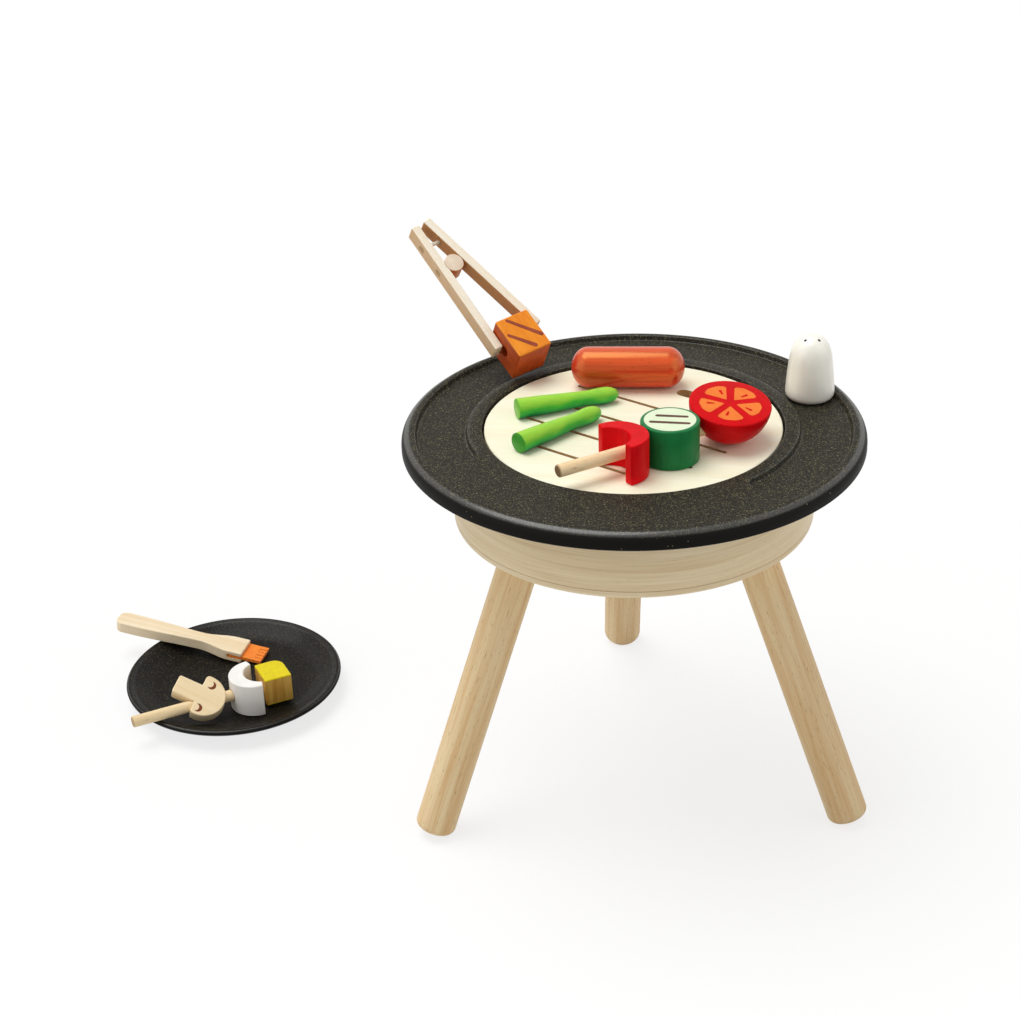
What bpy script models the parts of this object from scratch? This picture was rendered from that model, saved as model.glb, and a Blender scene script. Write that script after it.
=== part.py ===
"""Toy barbecue grill with its food, tongs, salt shaker, plate and brush.

Lengths are in metres and +Z is up. The grill's axis is the Z axis of the empty called grill_set, whose floor
is at height zero. The last step shifts that empty so that the origin is the middle of the set's footprint.
"""

import math

import bmesh
import bpy
from mathutils import Matrix, Vector

# Clearances and mesh settings
GAP = 0.0003
SCREW_SEAT_GAP = 0.0005
OVERRUN = 0.002
MERGE = 0.00001
SMOOTH_ANGLE = math.radians(32.0)
FILLET_STEPS = 3
TINY_SIDES = 12
SMALL_SIDES = 16
ROUND_SIDES = 24
FINE_SIDES = 36
BOWL_SIDES = 48

# Legs
LEG_HEIGHT = 0.226
LEG_RADIUS = 0.0155
LEG_END_FILLET = 0.006
LEG_INSET = 0.0401
LEG_SPLAY = math.radians(21.7)
LEG_AZIMUTHS = {"rear": 93.2, "left": 213.2, "right": 333.2}

# Base board
BOARD_FLANGE = 0.006
BOARD_SPIGOT = 0.009
BOARD_FILLET = 0.004

# Leg bolts and their nuts in the board
BOLT_RADIUS = 0.004
BOLT_CLEARANCE = 0.0003
BOLT_SOCKET = 0.045
BOLT_STANDOUT = 0.001
BOLT_CHAMFER = 0.0008
NUT_FLANGE_RADIUS = 0.010
NUT_FLANGE = 0.0015
NUT_BARREL_RADIUS = 0.0055
NUT_BARREL = 0.007
POCKET_DEPTH = 0.0065

# Bowl ring
BOWL_INNER_RADIUS = 0.122
BOWL_WALL = 0.0115
BOWL_RING_HEIGHT = 0.0549

# Moulded rim
RIM_WIDTH = 0.0595
RIM_SHOULDER = 0.0115
RIM_THICKNESS = 0.0095
RIM_SIDE_HEIGHT = 0.0123
RIM_LIP = 0.0018
RIM_TOP_FILLET = 0.008
RIM_SMALL_FILLET = 0.001
RIM_SKIRT_WALL = 0.006
RIM_COLLAR_WALL = 0.0062
RIM_COLLAR_DEPTH = 0.0153
LEDGE_WIDTH = 0.007
LEDGE_THICKNESS = 0.004
TRAY_INNER_MARGIN = 0.0102
TRAY_OUTER_MARGIN = 0.0101
TRAY_CORNER = 0.009
TRAY_DEPTH = 0.0035
TRAY_WALL = 0.0025
TRAY_WALL_SHARES = (0.0, 0.3, 0.7, 1.0, 2.2)
TRAY_START = math.radians(-51.0)
TRAY_END = math.radians(206.5)
TRAY_END_STEPS = 6
RIM_BACK_STEPS = 42
RIM_FRONT_STEPS = 14

# Rim screws
SCREW_AZIMUTHS = (33.0, 153.0, 273.0)
SCREW_HEAD_RADIUS = 0.004
SCREW_HEAD = 0.0025
SCREW_RADIUS = 0.002
SCREW_LENGTH = 0.014
SCREW_CLEARANCE = 0.0003
SCREW_TIP_ROOM = 0.002

# Slotted grate
GRATE_THICKNESS = 0.009
GRATE_CLEARANCE = 0.0014
GRATE_FILLET = 0.001
SLOT_WIDTH = 0.0032
SLOT_MARGIN = 0.0284
SLOT_PITCH_SHARE = 0.41264
SLOT_ANGLE = math.radians(-34.7)
SLOT_ROWS = (1, 0, -1, -2)
SLOT_END_SIDES = 8
FINGER_SLOT_WIDTH = 0.011
FINGER_SLOT_LENGTH = 0.040
FINGER_SLOT_ALONG_SHARE = 0.13749
FINGER_SLOT_ACROSS_SHARE = 0.61412

# Sausage. Places on the grate are shares of the grate's radius, from its middle
SAUSAGE_LENGTH = 0.0858
SAUSAGE_RADIUS = 0.0155
SAUSAGE_END = 0.013
SAUSAGE_END_ANGLES = (0.0, 12.0, 26.0, 42.0, 60.0, 78.0)
SAUSAGE_PLACE_SHARES = (-0.03208, 0.62145)
SAUSAGE_ANGLE = math.radians(-1.2)

# Asparagus: each share of the length goes with a share of the base radius
ASPARAGUS_LENGTH = 0.080
ASPARAGUS_RADIUS = 0.0075
ASPARAGUS_EDGE = 0.0006
ASPARAGUS_SHARES = (
    (0.25, 0.95), (0.45, 0.86), (0.60, 0.785), (0.70, 0.765), (0.78, 0.81), (0.86, 0.84),
    (0.92, 0.76), (0.965, 0.56), (0.99, 0.30),
)
ASPARAGUS_HEAD_SHARES = (0.86, 0.84)
ASPARAGUS_LONG_PLACE_SHARES = (-0.7846, 0.11916)
ASPARAGUS_LONG_ANGLE = math.radians(20.7)
ASPARAGUS_SHORT_PLACE_SHARES = (-0.75069, -0.40422)
ASPARAGUS_SHORT_ANGLE = math.radians(43.7)

# Skewer sticks
STICK_LENGTH = 0.133
STICK_RADIUS = 0.0047
STICK_CHAMFER = 0.0005
STICK_CLEARANCE = 0.0003
STICK_END_PLAY = 0.0006
FOOD_EDGE = 0.0008

# Skewer on the grate, with places measured along the stick from its far end
SKEWER_ANGLE = math.radians(32.3)
ZUCCHINI_PLACE_SHARES = (0.2389, -0.49166)
ZUCCHINI_FROM_END = 0.041
ZUCCHINI_RADIUS = 0.021
ZUCCHINI_HEIGHT = 0.030
ZUCCHINI_EDGE = 0.0012
TOMATO_RADIUS = 0.0296
TOMATO_SPACE = 0.0007
TOMATO_TILT = math.radians(9.2)
TOMATO_EDGE = 0.0012
TOMATO_RINGS = 7
PEPPER_RADIUS = 0.022
PEPPER_HOLLOW_RADIUS = 0.0155
PEPPER_HOLLOW_SHIFT = 0.0075
PEPPER_HEIGHT = 0.030
PEPPER_OUTER_END = math.radians(97.0)
PEPPER_INNER_END = math.radians(75.0)
HALF_RING_STEPS = 14

# Salmon cube: across the tongs, along them and its height. Its place is in shares of the rim's radius
CUBE_WIDTH = 0.0295
CUBE_DEPTH = 0.0355
CUBE_HEIGHT = 0.031
CUBE_EDGE = 0.0015
CUBE_PLACE_SHARES = (-0.50824, 0.53294)
CUBE_TURN = (math.radians(32.152), math.radians(-6.666), math.radians(36.569))

# Tongs: the places along an arm are measured from its tip
ARM_LENGTH = 0.120
ARM_WIDTH = 0.0072
ARM_HEIGHT = 0.013
ARM_EDGE = 0.0009
TONGS_GRIP = 0.0155
TONGS_DROP = 0.0018
TONGS_PITCH = math.radians(6.2)
TONGS_YAW = math.radians(2.26)
ROLLER_RADIUS = 0.00755
ROLLER_SEAT = 0.0010
ROLLER_ALONG = 0.0793
PIN_RADIUS = 0.0025
PIN_CLEARANCE = 0.0003
PIN_DEPTH_IN_ROLLER = 0.008
ELASTIC_RADIUS = 0.0015
ELASTIC_ALONG = 0.103
ELASTIC_ENTRY = 0.002
ELASTIC_HOLE_RADIUS = 0.0024
ELASTIC_HOLE_DEPTH = 0.0055
PLUG_RADIUS = 0.0027
PLUG_LENGTH = 0.0024

# Salt shaker: shares of the radius and of the height
SHAKER_TRAY_GAP = 0.0013
SHAKER_HEIGHT = 0.050
SHAKER_BASE_FILLET = 0.005
SHAKER_AZIMUTH = math.radians(20.7)
SHAKER_OUTWARD = 0.001
SHAKER_SHARES = (
    (1.0, 0.14), (0.955, 0.36), (0.90, 0.56), (0.845, 0.70), (0.77, 0.80), (0.655, 0.88), (0.50, 0.94),
    (0.27, 0.985),
)
SHAKER_HOLE_RADIUS = 0.001
SHAKER_HOLE_DEPTH = 0.0036
SHAKER_HOLE_SPACING = 0.010
SHAKER_HOLE_FORWARD = 0.0056

# Plate: shares of the way from the floor's edge out to the lip, and of the height
PLATE_FLOOR_RADIUS = 0.062
PLATE_WALL_RUN = 0.028
PLATE_HEIGHT = 0.018
PLATE_FOOT_INSET = 0.004
PLATE_FOOT_WIDTH = 0.006
PLATE_FOOT_RISE = 0.0035
PLATE_FLOOR = 0.0085
PLATE_UNDER_SHARES = ((0.0036, 0.083), (0.7846, 0.694), (0.8586, 0.722), (0.9518, 0.755))
PLATE_LIP_SHARES = ((1.0, 0.84), (1.0, 0.91), (0.955, 0.985), (0.9036, 1.0), (0.8586, 0.985))
PLATE_UPPER_SHARES = ((0.7493, 0.93), (0.55, 0.76), (0.2929, 0.585))
PLATE_CREST_SHARE = 0.8586
PLATE_X = -0.3377
PLATE_Y = 0.0975
PLATE_ANGLE = math.radians(11.3)

# Brush. Places on the plate are shares of its floor's radius, from its middle
BRUSH_PLACE_SHARES = (0.16452, 0.62258)
BRUSH_ANGLE = math.radians(157.1)
BRUSH_LENGTH = 0.118
BRUSH_THICKNESS = 0.0095
BRUSH_HEAD_WIDTH = 0.024
BRUSH_NECK_WIDTH = 0.0130
BRUSH_GRIP_WIDTH = 0.0185
BRUSH_HEAD_SHARE = 0.10
BRUSH_NECK_SHARE = 0.34
BRUSH_GRIP_SHARE = 0.84
BRUSH_END_FILLET = 0.007
BRUSH_EDGE = 0.0008
BRUSH_CURVE_STEPS = 6
BRISTLE_WIDTH = 0.022
BRISTLE_THICKNESS = 0.003
BRISTLE_LENGTH = 0.0175
BRISTLE_SEAT = 0.013
BRISTLE_SLIT_WIDTH = 0.0005
BRISTLE_SLIT_LENGTH = 0.007
BRISTLE_TUFTS = 5

# Skewer on the plate, with places measured along the stick from its far end
PLATE_SKEWER_END_SHARES = (0.7063, -0.47389)
PLATE_SKEWER_ANGLE = math.radians(16.7)
ONION_FROM_END = 0.0276
ONION_ACROSS = 0.0014
ONION_RADIUS = 0.021
ONION_HOLLOW_RADIUS = 0.0153
ONION_HOLLOW_SHIFT = 0.007
ONION_HEIGHT = 0.0288
ONION_OUTER_END = math.radians(92.0)
ONION_INNER_END = math.radians(72.0)
BLOCK_FROM_END = 0.0108
BLOCK_ACROSS = 0.0024
BLOCK_DEPTH = 0.023
BLOCK_WIDTH = 0.0277
BLOCK_HEIGHT = 0.0246
BLOCK_CORNER = 0.009
BLOCK_CORNER_STEPS = 4
BLOCK_EDGE = 0.001
MUSHROOM_FROM_END = 0.0719
MUSHROOM_ACROSS = 0.0039
MUSHROOM_CAP_RADIUS = 0.0181
MUSHROOM_CAP_UNDER = 0.0048
MUSHROOM_CAP_FILLET = 0.003
MUSHROOM_STEM_WIDTH = 0.0162
MUSHROOM_STEM_LENGTH = 0.0251
MUSHROOM_STEM_FILLET = 0.002
MUSHROOM_THICKNESS = 0.0125
MUSHROOM_ROLL = math.radians(36.0)
MUSHROOM_TURN = math.radians(-42.8)

# Heights above the floor, from the legs up
FLANGE_TOP = LEG_HEIGHT + BOARD_FLANGE
BOARD_TOP = FLANGE_TOP + BOARD_SPIGOT
RING_BOTTOM = FLANGE_TOP + GAP
RING_TOP = RING_BOTTOM + BOWL_RING_HEIGHT
RIM_SEAT = RING_TOP + GAP
RIM_TOP = RIM_SEAT + RIM_THICKNESS
GRATE_TOP = RIM_TOP - RIM_LIP
GRATE_BOTTOM = GRATE_TOP - GRATE_THICKNESS
LEDGE_TOP = GRATE_BOTTOM - GAP
LEDGE_BOTTOM = LEDGE_TOP - LEDGE_THICKNESS
COLLAR_BOTTOM = RIM_SEAT - RIM_COLLAR_DEPTH

# Radii that follow from their neighbours
BOARD_RADIUS = BOWL_INNER_RADIUS + BOWL_WALL
LEG_RING_RADIUS = BOARD_RADIUS - LEG_INSET
RIM_INNER_RADIUS = BOWL_INNER_RADIUS - RIM_SHOULDER
RIM_RADIUS = RIM_INNER_RADIUS + RIM_WIDTH
TRAY_HALF_WIDTH = (RIM_WIDTH - TRAY_INNER_MARGIN - TRAY_OUTER_MARGIN) / 2
TRAY_RADIUS = RIM_INNER_RADIUS + TRAY_INNER_MARGIN + TRAY_HALF_WIDTH
SHAKER_RADIUS = TRAY_HALF_WIDTH - SHAKER_TRAY_GAP
PLATE_FOOT_RADIUS = PLATE_FLOOR_RADIUS - PLATE_FOOT_INSET
SPIGOT_RADIUS = BOWL_INNER_RADIUS - GAP
COLLAR_RADIUS = BOWL_INNER_RADIUS * math.cos(math.pi / BOWL_SIDES) - GAP
COLLAR_INNER_RADIUS = COLLAR_RADIUS - RIM_COLLAR_WALL
LEDGE_RADIUS = RIM_INNER_RADIUS - LEDGE_WIDTH
GRATE_RADIUS = RIM_INNER_RADIUS - GRATE_CLEARANCE
BOLT_HOLE_RADIUS = BOLT_RADIUS + BOLT_CLEARANCE
STICK_HOLE_RADIUS = STICK_RADIUS + STICK_CLEARANCE

# Places along the leg's axis, measured up from the board's underside
NUT_SEAT = (BOARD_FLANGE + BOARD_SPIGOT) / math.cos(LEG_SPLAY) - POCKET_DEPTH
NUT_FLANGE_BOTTOM = NUT_SEAT + GAP
NUT_FLANGE_TOP = NUT_FLANGE_BOTTOM + NUT_FLANGE
NUT_BOTTOM = NUT_FLANGE_BOTTOM - NUT_BARREL


def clear_scene():
    """Remove every object that the new file starts with."""
    for item in list(bpy.data.objects):
        bpy.data.objects.remove(item, do_unlink=True)


def material(name, colour, roughness, metallic=0.0):
    """Make a Principled material, or return the one already made under this name."""
    found = bpy.data.materials.get(name)
    if found:
        return found
    made = bpy.data.materials.new(name)
    made.use_nodes = True
    shader = made.node_tree.nodes["Principled BSDF"]
    shader.inputs["Base Color"].default_value = (*colour, 1.0)
    shader.inputs["Roughness"].default_value = roughness
    shader.inputs["Metallic"].default_value = metallic
    return made


def natural_wood():
    return material("natural_wood", (0.78, 0.60, 0.38), 0.55)


def pale_ply():
    return material("pale_ply", (0.88, 0.79, 0.60), 0.50)


def black_moulding():
    return material("black_moulding", (0.02, 0.02, 0.02), 0.35)


def zinc_steel():
    return material("zinc_steel", (0.62, 0.62, 0.60), 0.30, 1.0)


def empty(name, parent=None, location=(0, 0, 0), rotation=(0, 0, 0)):
    """Add an empty that carries other pieces."""
    frame = bpy.data.objects.new(name, None)
    bpy.context.scene.collection.objects.link(frame)
    frame.parent = parent
    frame.location = location
    frame.rotation_euler = rotation
    return frame


def add_piece(name, bm, finish, parent, location=(0, 0, 0), rotation=(0, 0, 0)):
    """Turn a bmesh into a named piece under its parent."""
    bmesh.ops.recalc_face_normals(bm, faces=bm.faces)
    mesh = bpy.data.meshes.new(name)
    bm.to_mesh(mesh)
    bm.free()
    mesh.shade_smooth()
    mesh.set_sharp_from_angle(angle=SMOOTH_ANGLE)
    if finish:
        mesh.materials.append(finish)
    piece = bpy.data.objects.new(name, mesh)
    bpy.context.scene.collection.objects.link(piece)
    piece.parent = parent
    piece.location = location
    piece.rotation_euler = rotation
    return piece


def cut(piece, bm, parent, location=(0, 0, 0), rotation=(0, 0, 0)):
    """Cut a bmesh out of a piece with a Boolean, and keep the cutter as a hidden wire."""
    cutter = add_piece("cutter_" + piece.name, bm, None, parent, location, rotation)
    cutter.hide_render = True
    cutter.display_type = "WIRE"
    boolean = piece.modifiers.new("cut", "BOOLEAN")
    boolean.operation = "DIFFERENCE"
    boolean.solver = "EXACT"
    boolean.object = cutter


def round_edges(piece, width, segments=2):
    """Round the piece's sharp edges."""
    bevel = piece.modifiers.new("round_edges", "BEVEL")
    bevel.width = width
    bevel.segments = segments
    bevel.limit_method = "ANGLE"
    bevel.angle_limit = SMOOTH_ANGLE


def arc(centre_x, centre_y, radius, start, end, steps):
    """Return the points of an arc, both ends included."""
    angles = [start + (end - start) * step / steps for step in range(steps + 1)]
    return [(centre_x + radius * math.cos(angle), centre_y + radius * math.sin(angle)) for angle in angles]


def rounded(corners, steps=FILLET_STEPS):
    """Return an outline from corners of (x, y, radius), with an arc at each corner that has a radius."""
    outline = []
    for index, (x, y, radius) in enumerate(corners):
        here = Vector((x, y))
        if radius == 0:
            outline.append((x, y))
            continue
        before = Vector(corners[index - 1][:2]) - here
        after = Vector(corners[(index + 1) % len(corners)][:2]) - here
        half = before.angle(after) / 2
        centre = here + (before.normalized() + after.normalized()).normalized() * (radius / math.sin(half))
        first = here + before.normalized() * (radius / math.tan(half)) - centre
        last = here + after.normalized() * (radius / math.tan(half)) - centre
        start = math.atan2(first.y, first.x)
        turn = math.remainder(math.atan2(last.y, last.x) - start, math.tau)
        outline.extend(arc(centre.x, centre.y, radius, start, start + turn, steps))
    return outline


def turned(profile, sides):
    """Turn a profile of (radius, height) points about Z. A profile off the axis is a closed ring."""
    bm = bmesh.new()
    verts = [bm.verts.new((radius, 0, height)) for radius, height in profile]
    edges = [bm.edges.new(pair) for pair in zip(verts, verts[1:])]
    if profile[0][0] > 0:
        edges.append(bm.edges.new((verts[-1], verts[0])))
    bmesh.ops.spin(bm, geom=verts + edges, cent=(0, 0, 0), axis=(0, 0, 1), angle=math.tau, steps=sides)
    bmesh.ops.remove_doubles(bm, verts=bm.verts, dist=MERGE)
    return bm


def cylinder(radius, bottom, top, sides):
    return turned([(0, bottom), (radius, bottom), (radius, top), (0, top)], sides)


def chamfered_rod(radius, bottom, top, chamfer, sides):
    inner = radius - chamfer
    profile = [(0, bottom), (inner, bottom), (radius, bottom + chamfer)]
    profile += [(radius, top - chamfer), (inner, top), (0, top)]
    return turned(profile, sides)


def extruded(outline, bottom, top):
    """Extrude a flat outline from the bottom height to the top height."""
    bm = bmesh.new()
    verts = [bm.verts.new((x, y, bottom)) for x, y in outline]
    face = bm.faces.new(verts)
    raised = bmesh.ops.extrude_face_region(bm, geom=[face])["geom"]
    lifted = [item for item in raised if isinstance(item, bmesh.types.BMVert)]
    bmesh.ops.translate(bm, verts=lifted, vec=(0, 0, top - bottom))
    return bm


def box(low, high):
    """Make a box between two corners."""
    outline = [(low[0], low[1]), (high[0], low[1]), (high[0], high[1]), (low[0], high[1])]
    return extruded(outline, low[2], high[2])


def along_x(bm):
    """Lay a piece that was turned about Z along X."""
    bmesh.ops.rotate(bm, verts=bm.verts, matrix=Matrix.Rotation(math.pi / 2, 3, "Y"))
    return bm


def stadium(length, width):
    """Return the outline of a slot with round ends, along X."""
    radius = width / 2
    reach = length / 2 - radius
    right = arc(reach, 0, radius, -math.pi / 2, math.pi / 2, SLOT_END_SIDES)
    left = arc(-reach, 0, radius, math.pi / 2, 3 * math.pi / 2, SLOT_END_SIDES)
    return right + left


def half_ring(radius, hollow_radius, hollow_shift, outer_end, inner_end, height):
    """Make a thick half ring that stands upright and opens towards -X."""
    outline = arc(0, 0, radius, -outer_end, outer_end, HALF_RING_STEPS)
    outline += arc(-hollow_shift, 0, hollow_radius, inner_end, -inner_end, HALF_RING_STEPS)
    return extruded(outline, -height / 2, height / 2)


def leg_place(azimuth):
    """Return the location and rotation of a leg's axis: local -Z runs down and out along the leg."""
    angle = math.radians(azimuth)
    location = (LEG_RING_RADIUS * math.cos(angle), LEG_RING_RADIUS * math.sin(angle), LEG_HEIGHT)
    return location, (0, -LEG_SPLAY, angle)


def make_leg(name, azimuth, root):
    """A round leg: its top is mitred to the board, and its end is cut square with a round edge."""
    square = LEG_RADIUS - LEG_END_FILLET
    end_height = square * math.sin(LEG_SPLAY) + LEG_END_FILLET * (1 - math.cos(LEG_SPLAY))
    length = (LEG_HEIGHT - end_height) / math.cos(LEG_SPLAY)
    corners = [(0, -length, 0), (LEG_RADIUS, -length, LEG_END_FILLET), (LEG_RADIUS, 0, 0)]
    corners += [(BOLT_HOLE_RADIUS, 0, 0), (BOLT_HOLE_RADIUS, -BOLT_SOCKET, 0), (0, -BOLT_SOCKET, 0)]
    bm = turned(rounded(corners), ROUND_SIDES)
    for vert in bm.verts:
        if abs(vert.co.z) < MERGE:
            vert.co.z = -GAP / math.cos(LEG_SPLAY) - vert.co.x * math.tan(LEG_SPLAY)
    location, rotation = leg_place(azimuth)
    add_piece(name, bm, natural_wood(), root, location, rotation)


def make_leg_bolt(name, azimuth, root):
    """A headless bolt on the leg's axis, from the leg's socket up through the nut."""
    location, rotation = leg_place(azimuth)
    top = NUT_FLANGE_TOP + BOLT_STANDOUT
    rod = chamfered_rod(BOLT_RADIUS, GAP - BOLT_SOCKET, top, BOLT_CHAMFER, TINY_SIDES)
    add_piece(name, rod, zinc_steel(), root, location, rotation)


def make_tee_nut(name, azimuth, root):
    """A flanged nut that drops into the board's pocket, square to the leg's axis."""
    profile = [(BOLT_HOLE_RADIUS, NUT_FLANGE_TOP), (NUT_FLANGE_RADIUS, NUT_FLANGE_TOP)]
    profile += [(NUT_FLANGE_RADIUS, NUT_FLANGE_BOTTOM), (NUT_BARREL_RADIUS, NUT_FLANGE_BOTTOM)]
    profile += [(NUT_BARREL_RADIUS, NUT_BOTTOM), (BOLT_HOLE_RADIUS, NUT_BOTTOM)]
    location, rotation = leg_place(azimuth)
    add_piece(name, turned(profile, SMALL_SIDES), zinc_steel(), root, location, rotation)


def make_base_board(root):
    """The bowl's wooden floor: a flange under the ring and a spigot inside it."""
    corners = [(0, LEG_HEIGHT, 0), (BOARD_RADIUS, LEG_HEIGHT, BOARD_FILLET), (BOARD_RADIUS, FLANGE_TOP, 0)]
    corners += [(SPIGOT_RADIUS, FLANGE_TOP, 0), (SPIGOT_RADIUS, BOARD_TOP, 0), (0, BOARD_TOP, 0)]
    board = add_piece("base_board", turned(rounded(corners), BOWL_SIDES), natural_wood(), root)
    hole = NUT_BARREL_RADIUS + GAP
    pocket = NUT_FLANGE_RADIUS + GAP
    reach = BOARD_FLANGE + BOARD_SPIGOT
    for azimuth in LEG_AZIMUTHS.values():
        profile = [(0, -reach), (hole, -reach), (hole, NUT_SEAT), (pocket, NUT_SEAT)]
        profile += [(pocket, 2 * reach), (0, 2 * reach)]
        location, rotation = leg_place(azimuth)
        cut(board, turned(profile, SMALL_SIDES), root, location, rotation)


def screw_place(azimuth):
    """Return a rim screw's location and rotation: local +Z runs inwards and is the head's side."""
    angle = math.radians(azimuth)
    radius = COLLAR_INNER_RADIUS - SCREW_SEAT_GAP
    height = (LEDGE_BOTTOM + COLLAR_BOTTOM) / 2
    return (radius * math.cos(angle), radius * math.sin(angle), height), (0, -math.pi / 2, angle)


def cut_screw_holes(piece, root):
    """Drill the screw holes through the rim's collar and on into the bowl ring."""
    depth = SCREW_LENGTH + SCREW_TIP_ROOM
    for azimuth in SCREW_AZIMUTHS:
        location, rotation = screw_place(azimuth)
        drill = cylinder(SCREW_RADIUS + SCREW_CLEARANCE, -depth, SCREW_HEAD, TINY_SIDES)
        cut(piece, drill, root, location, rotation)


def make_rim_screw(name, azimuth, root):
    profile = [(0, -SCREW_LENGTH), (SCREW_RADIUS, SCREW_RADIUS - SCREW_LENGTH), (SCREW_RADIUS, 0)]
    profile += [(SCREW_HEAD_RADIUS, 0), (SCREW_HEAD_RADIUS, SCREW_HEAD / 2)]
    profile += [(SCREW_HEAD_RADIUS / 2, SCREW_HEAD), (0, SCREW_HEAD)]
    location, rotation = screw_place(azimuth)
    add_piece(name, turned(profile, TINY_SIDES), zinc_steel(), root, location, rotation)


def make_bowl_ring(root):
    """The bowl's plain wooden wall."""
    profile = [(BOWL_INNER_RADIUS, RING_BOTTOM), (BOARD_RADIUS, RING_BOTTOM)]
    profile += [(BOARD_RADIUS, RING_TOP), (BOWL_INNER_RADIUS, RING_TOP)]
    ring = add_piece("bowl_ring", turned(profile, BOWL_SIDES), natural_wood(), root)
    cut_screw_holes(ring, root)


def tray_drop(x, y):
    """Return how far the rim's top sinks at a place: the tray is a bent band with round corners."""
    half_span = (TRAY_END - TRAY_START) / 2
    turn = math.remainder(math.atan2(y, x) - TRAY_START - half_span, math.tau)
    along = (abs(turn) - half_span) * TRAY_RADIUS + TRAY_CORNER
    across = abs(math.hypot(x, y) - TRAY_RADIUS) - TRAY_HALF_WIDTH + TRAY_CORNER
    outside = math.hypot(max(along, 0), max(across, 0)) + min(max(along, across), 0)
    share = min(max((TRAY_CORNER - outside) / TRAY_WALL, 0), 1)
    return TRAY_DEPTH * share * share * (3 - 2 * share)


def make_rim(root):
    """The moulded rim: a flat ring with a rolled edge, a tray, a ledge for the grate and a collar."""
    inner_wall = [TRAY_RADIUS - TRAY_HALF_WIDTH + TRAY_WALL * share for share in TRAY_WALL_SHARES]
    outer_wall = [2 * TRAY_RADIUS - radius for radius in reversed(inner_wall)]
    skirt = RIM_RADIUS - RIM_SKIRT_WALL
    side_bottom = RIM_TOP - RIM_SIDE_HEIGHT
    corners = [(radius, RIM_TOP, 0) for radius in inner_wall + [TRAY_RADIUS] + outer_wall]
    corners += [(RIM_RADIUS, RIM_TOP, RIM_TOP_FILLET), (RIM_RADIUS, side_bottom, RIM_SMALL_FILLET)]
    corners += [(skirt, side_bottom, 0), (skirt, RIM_SEAT, 0), (COLLAR_RADIUS, RIM_SEAT, 0)]
    corners += [(COLLAR_RADIUS, COLLAR_BOTTOM, 0), (COLLAR_INNER_RADIUS, COLLAR_BOTTOM, 0)]
    corners += [(COLLAR_INNER_RADIUS, LEDGE_BOTTOM, 0), (LEDGE_RADIUS, LEDGE_BOTTOM, 0)]
    corners += [(LEDGE_RADIUS, LEDGE_TOP, 0), (RIM_INNER_RADIUS, LEDGE_TOP, 0)]
    corners += [(RIM_INNER_RADIUS, RIM_TOP, RIM_SMALL_FILLET)]
    bm = bmesh.new()
    start_x, start_y = math.cos(TRAY_START), math.sin(TRAY_START)
    verts = [bm.verts.new((radius * start_x, radius * start_y, z)) for radius, z in rounded(corners)]
    edges = [bm.edges.new((verts[index - 1], verts[index])) for index in range(len(verts))]
    ring = verts + edges
    end_reach = (TRAY_CORNER + TRAY_WALL) / TRAY_RADIUS
    span = TRAY_END - TRAY_START
    sectors = [(end_reach, TRAY_END_STEPS), (span - 2 * end_reach, RIM_BACK_STEPS)]
    sectors += [(end_reach, TRAY_END_STEPS), (math.tau - span, RIM_FRONT_STEPS)]
    for angle, steps in sectors:
        spun = bmesh.ops.spin(bm, geom=ring, cent=(0, 0, 0), axis=(0, 0, 1), angle=angle, steps=steps)
        ring = spun["geom_last"]
    bmesh.ops.remove_doubles(bm, verts=bm.verts, dist=MERGE)
    for vert in bm.verts:
        if vert.co.z > RIM_TOP - MERGE:
            vert.co.z -= tray_drop(vert.co.x, vert.co.y)
    rim = add_piece("rim", bm, black_moulding(), root)
    cut_screw_holes(rim, root)


def make_grate(root):
    """The slotted wooden disc, loose on the rim's ledge. The next empty is at the middle of its top."""
    top = empty("grate_top", root, (0, 0, GRATE_TOP))
    corners = [(0, -GRATE_THICKNESS, 0), (GRATE_RADIUS, -GRATE_THICKNESS, 0)]
    corners += [(GRATE_RADIUS, 0, GRATE_FILLET), (0, 0, 0)]
    grate = add_piece("grate", turned(rounded(corners), BOWL_SIDES), pale_ply(), top)
    slots = []
    reach = GRATE_RADIUS - SLOT_MARGIN
    for row in SLOT_ROWS:
        across = row * SLOT_PITCH_SHARE * reach
        slots.append((2 * math.sqrt(reach ** 2 - across ** 2), SLOT_WIDTH, 0, across))
    finger_along, finger_across = on_grate((FINGER_SLOT_ALONG_SHARE, FINGER_SLOT_ACROSS_SHARE))
    slots.append((FINGER_SLOT_LENGTH, FINGER_SLOT_WIDTH, finger_along, finger_across))
    turn = Matrix.Rotation(SLOT_ANGLE, 2)
    for length, width, along, across in slots:
        place = turn @ Vector((along, across))
        cutter = extruded(stadium(length, width), -GRATE_THICKNESS - OVERRUN, OVERRUN)
        cut(grate, cutter, top, (place.x, place.y, 0), (0, 0, SLOT_ANGLE))
    return top


def on_grate(shares):
    """Return a place on the grate from its shares of the grate's radius."""
    return GRATE_RADIUS * shares[0], GRATE_RADIUS * shares[1]


def on_plate(shares):
    """Return a place on the plate from its shares of the floor's radius."""
    return PLATE_FLOOR_RADIUS * shares[0], PLATE_FLOOR_RADIUS * shares[1]


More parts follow.
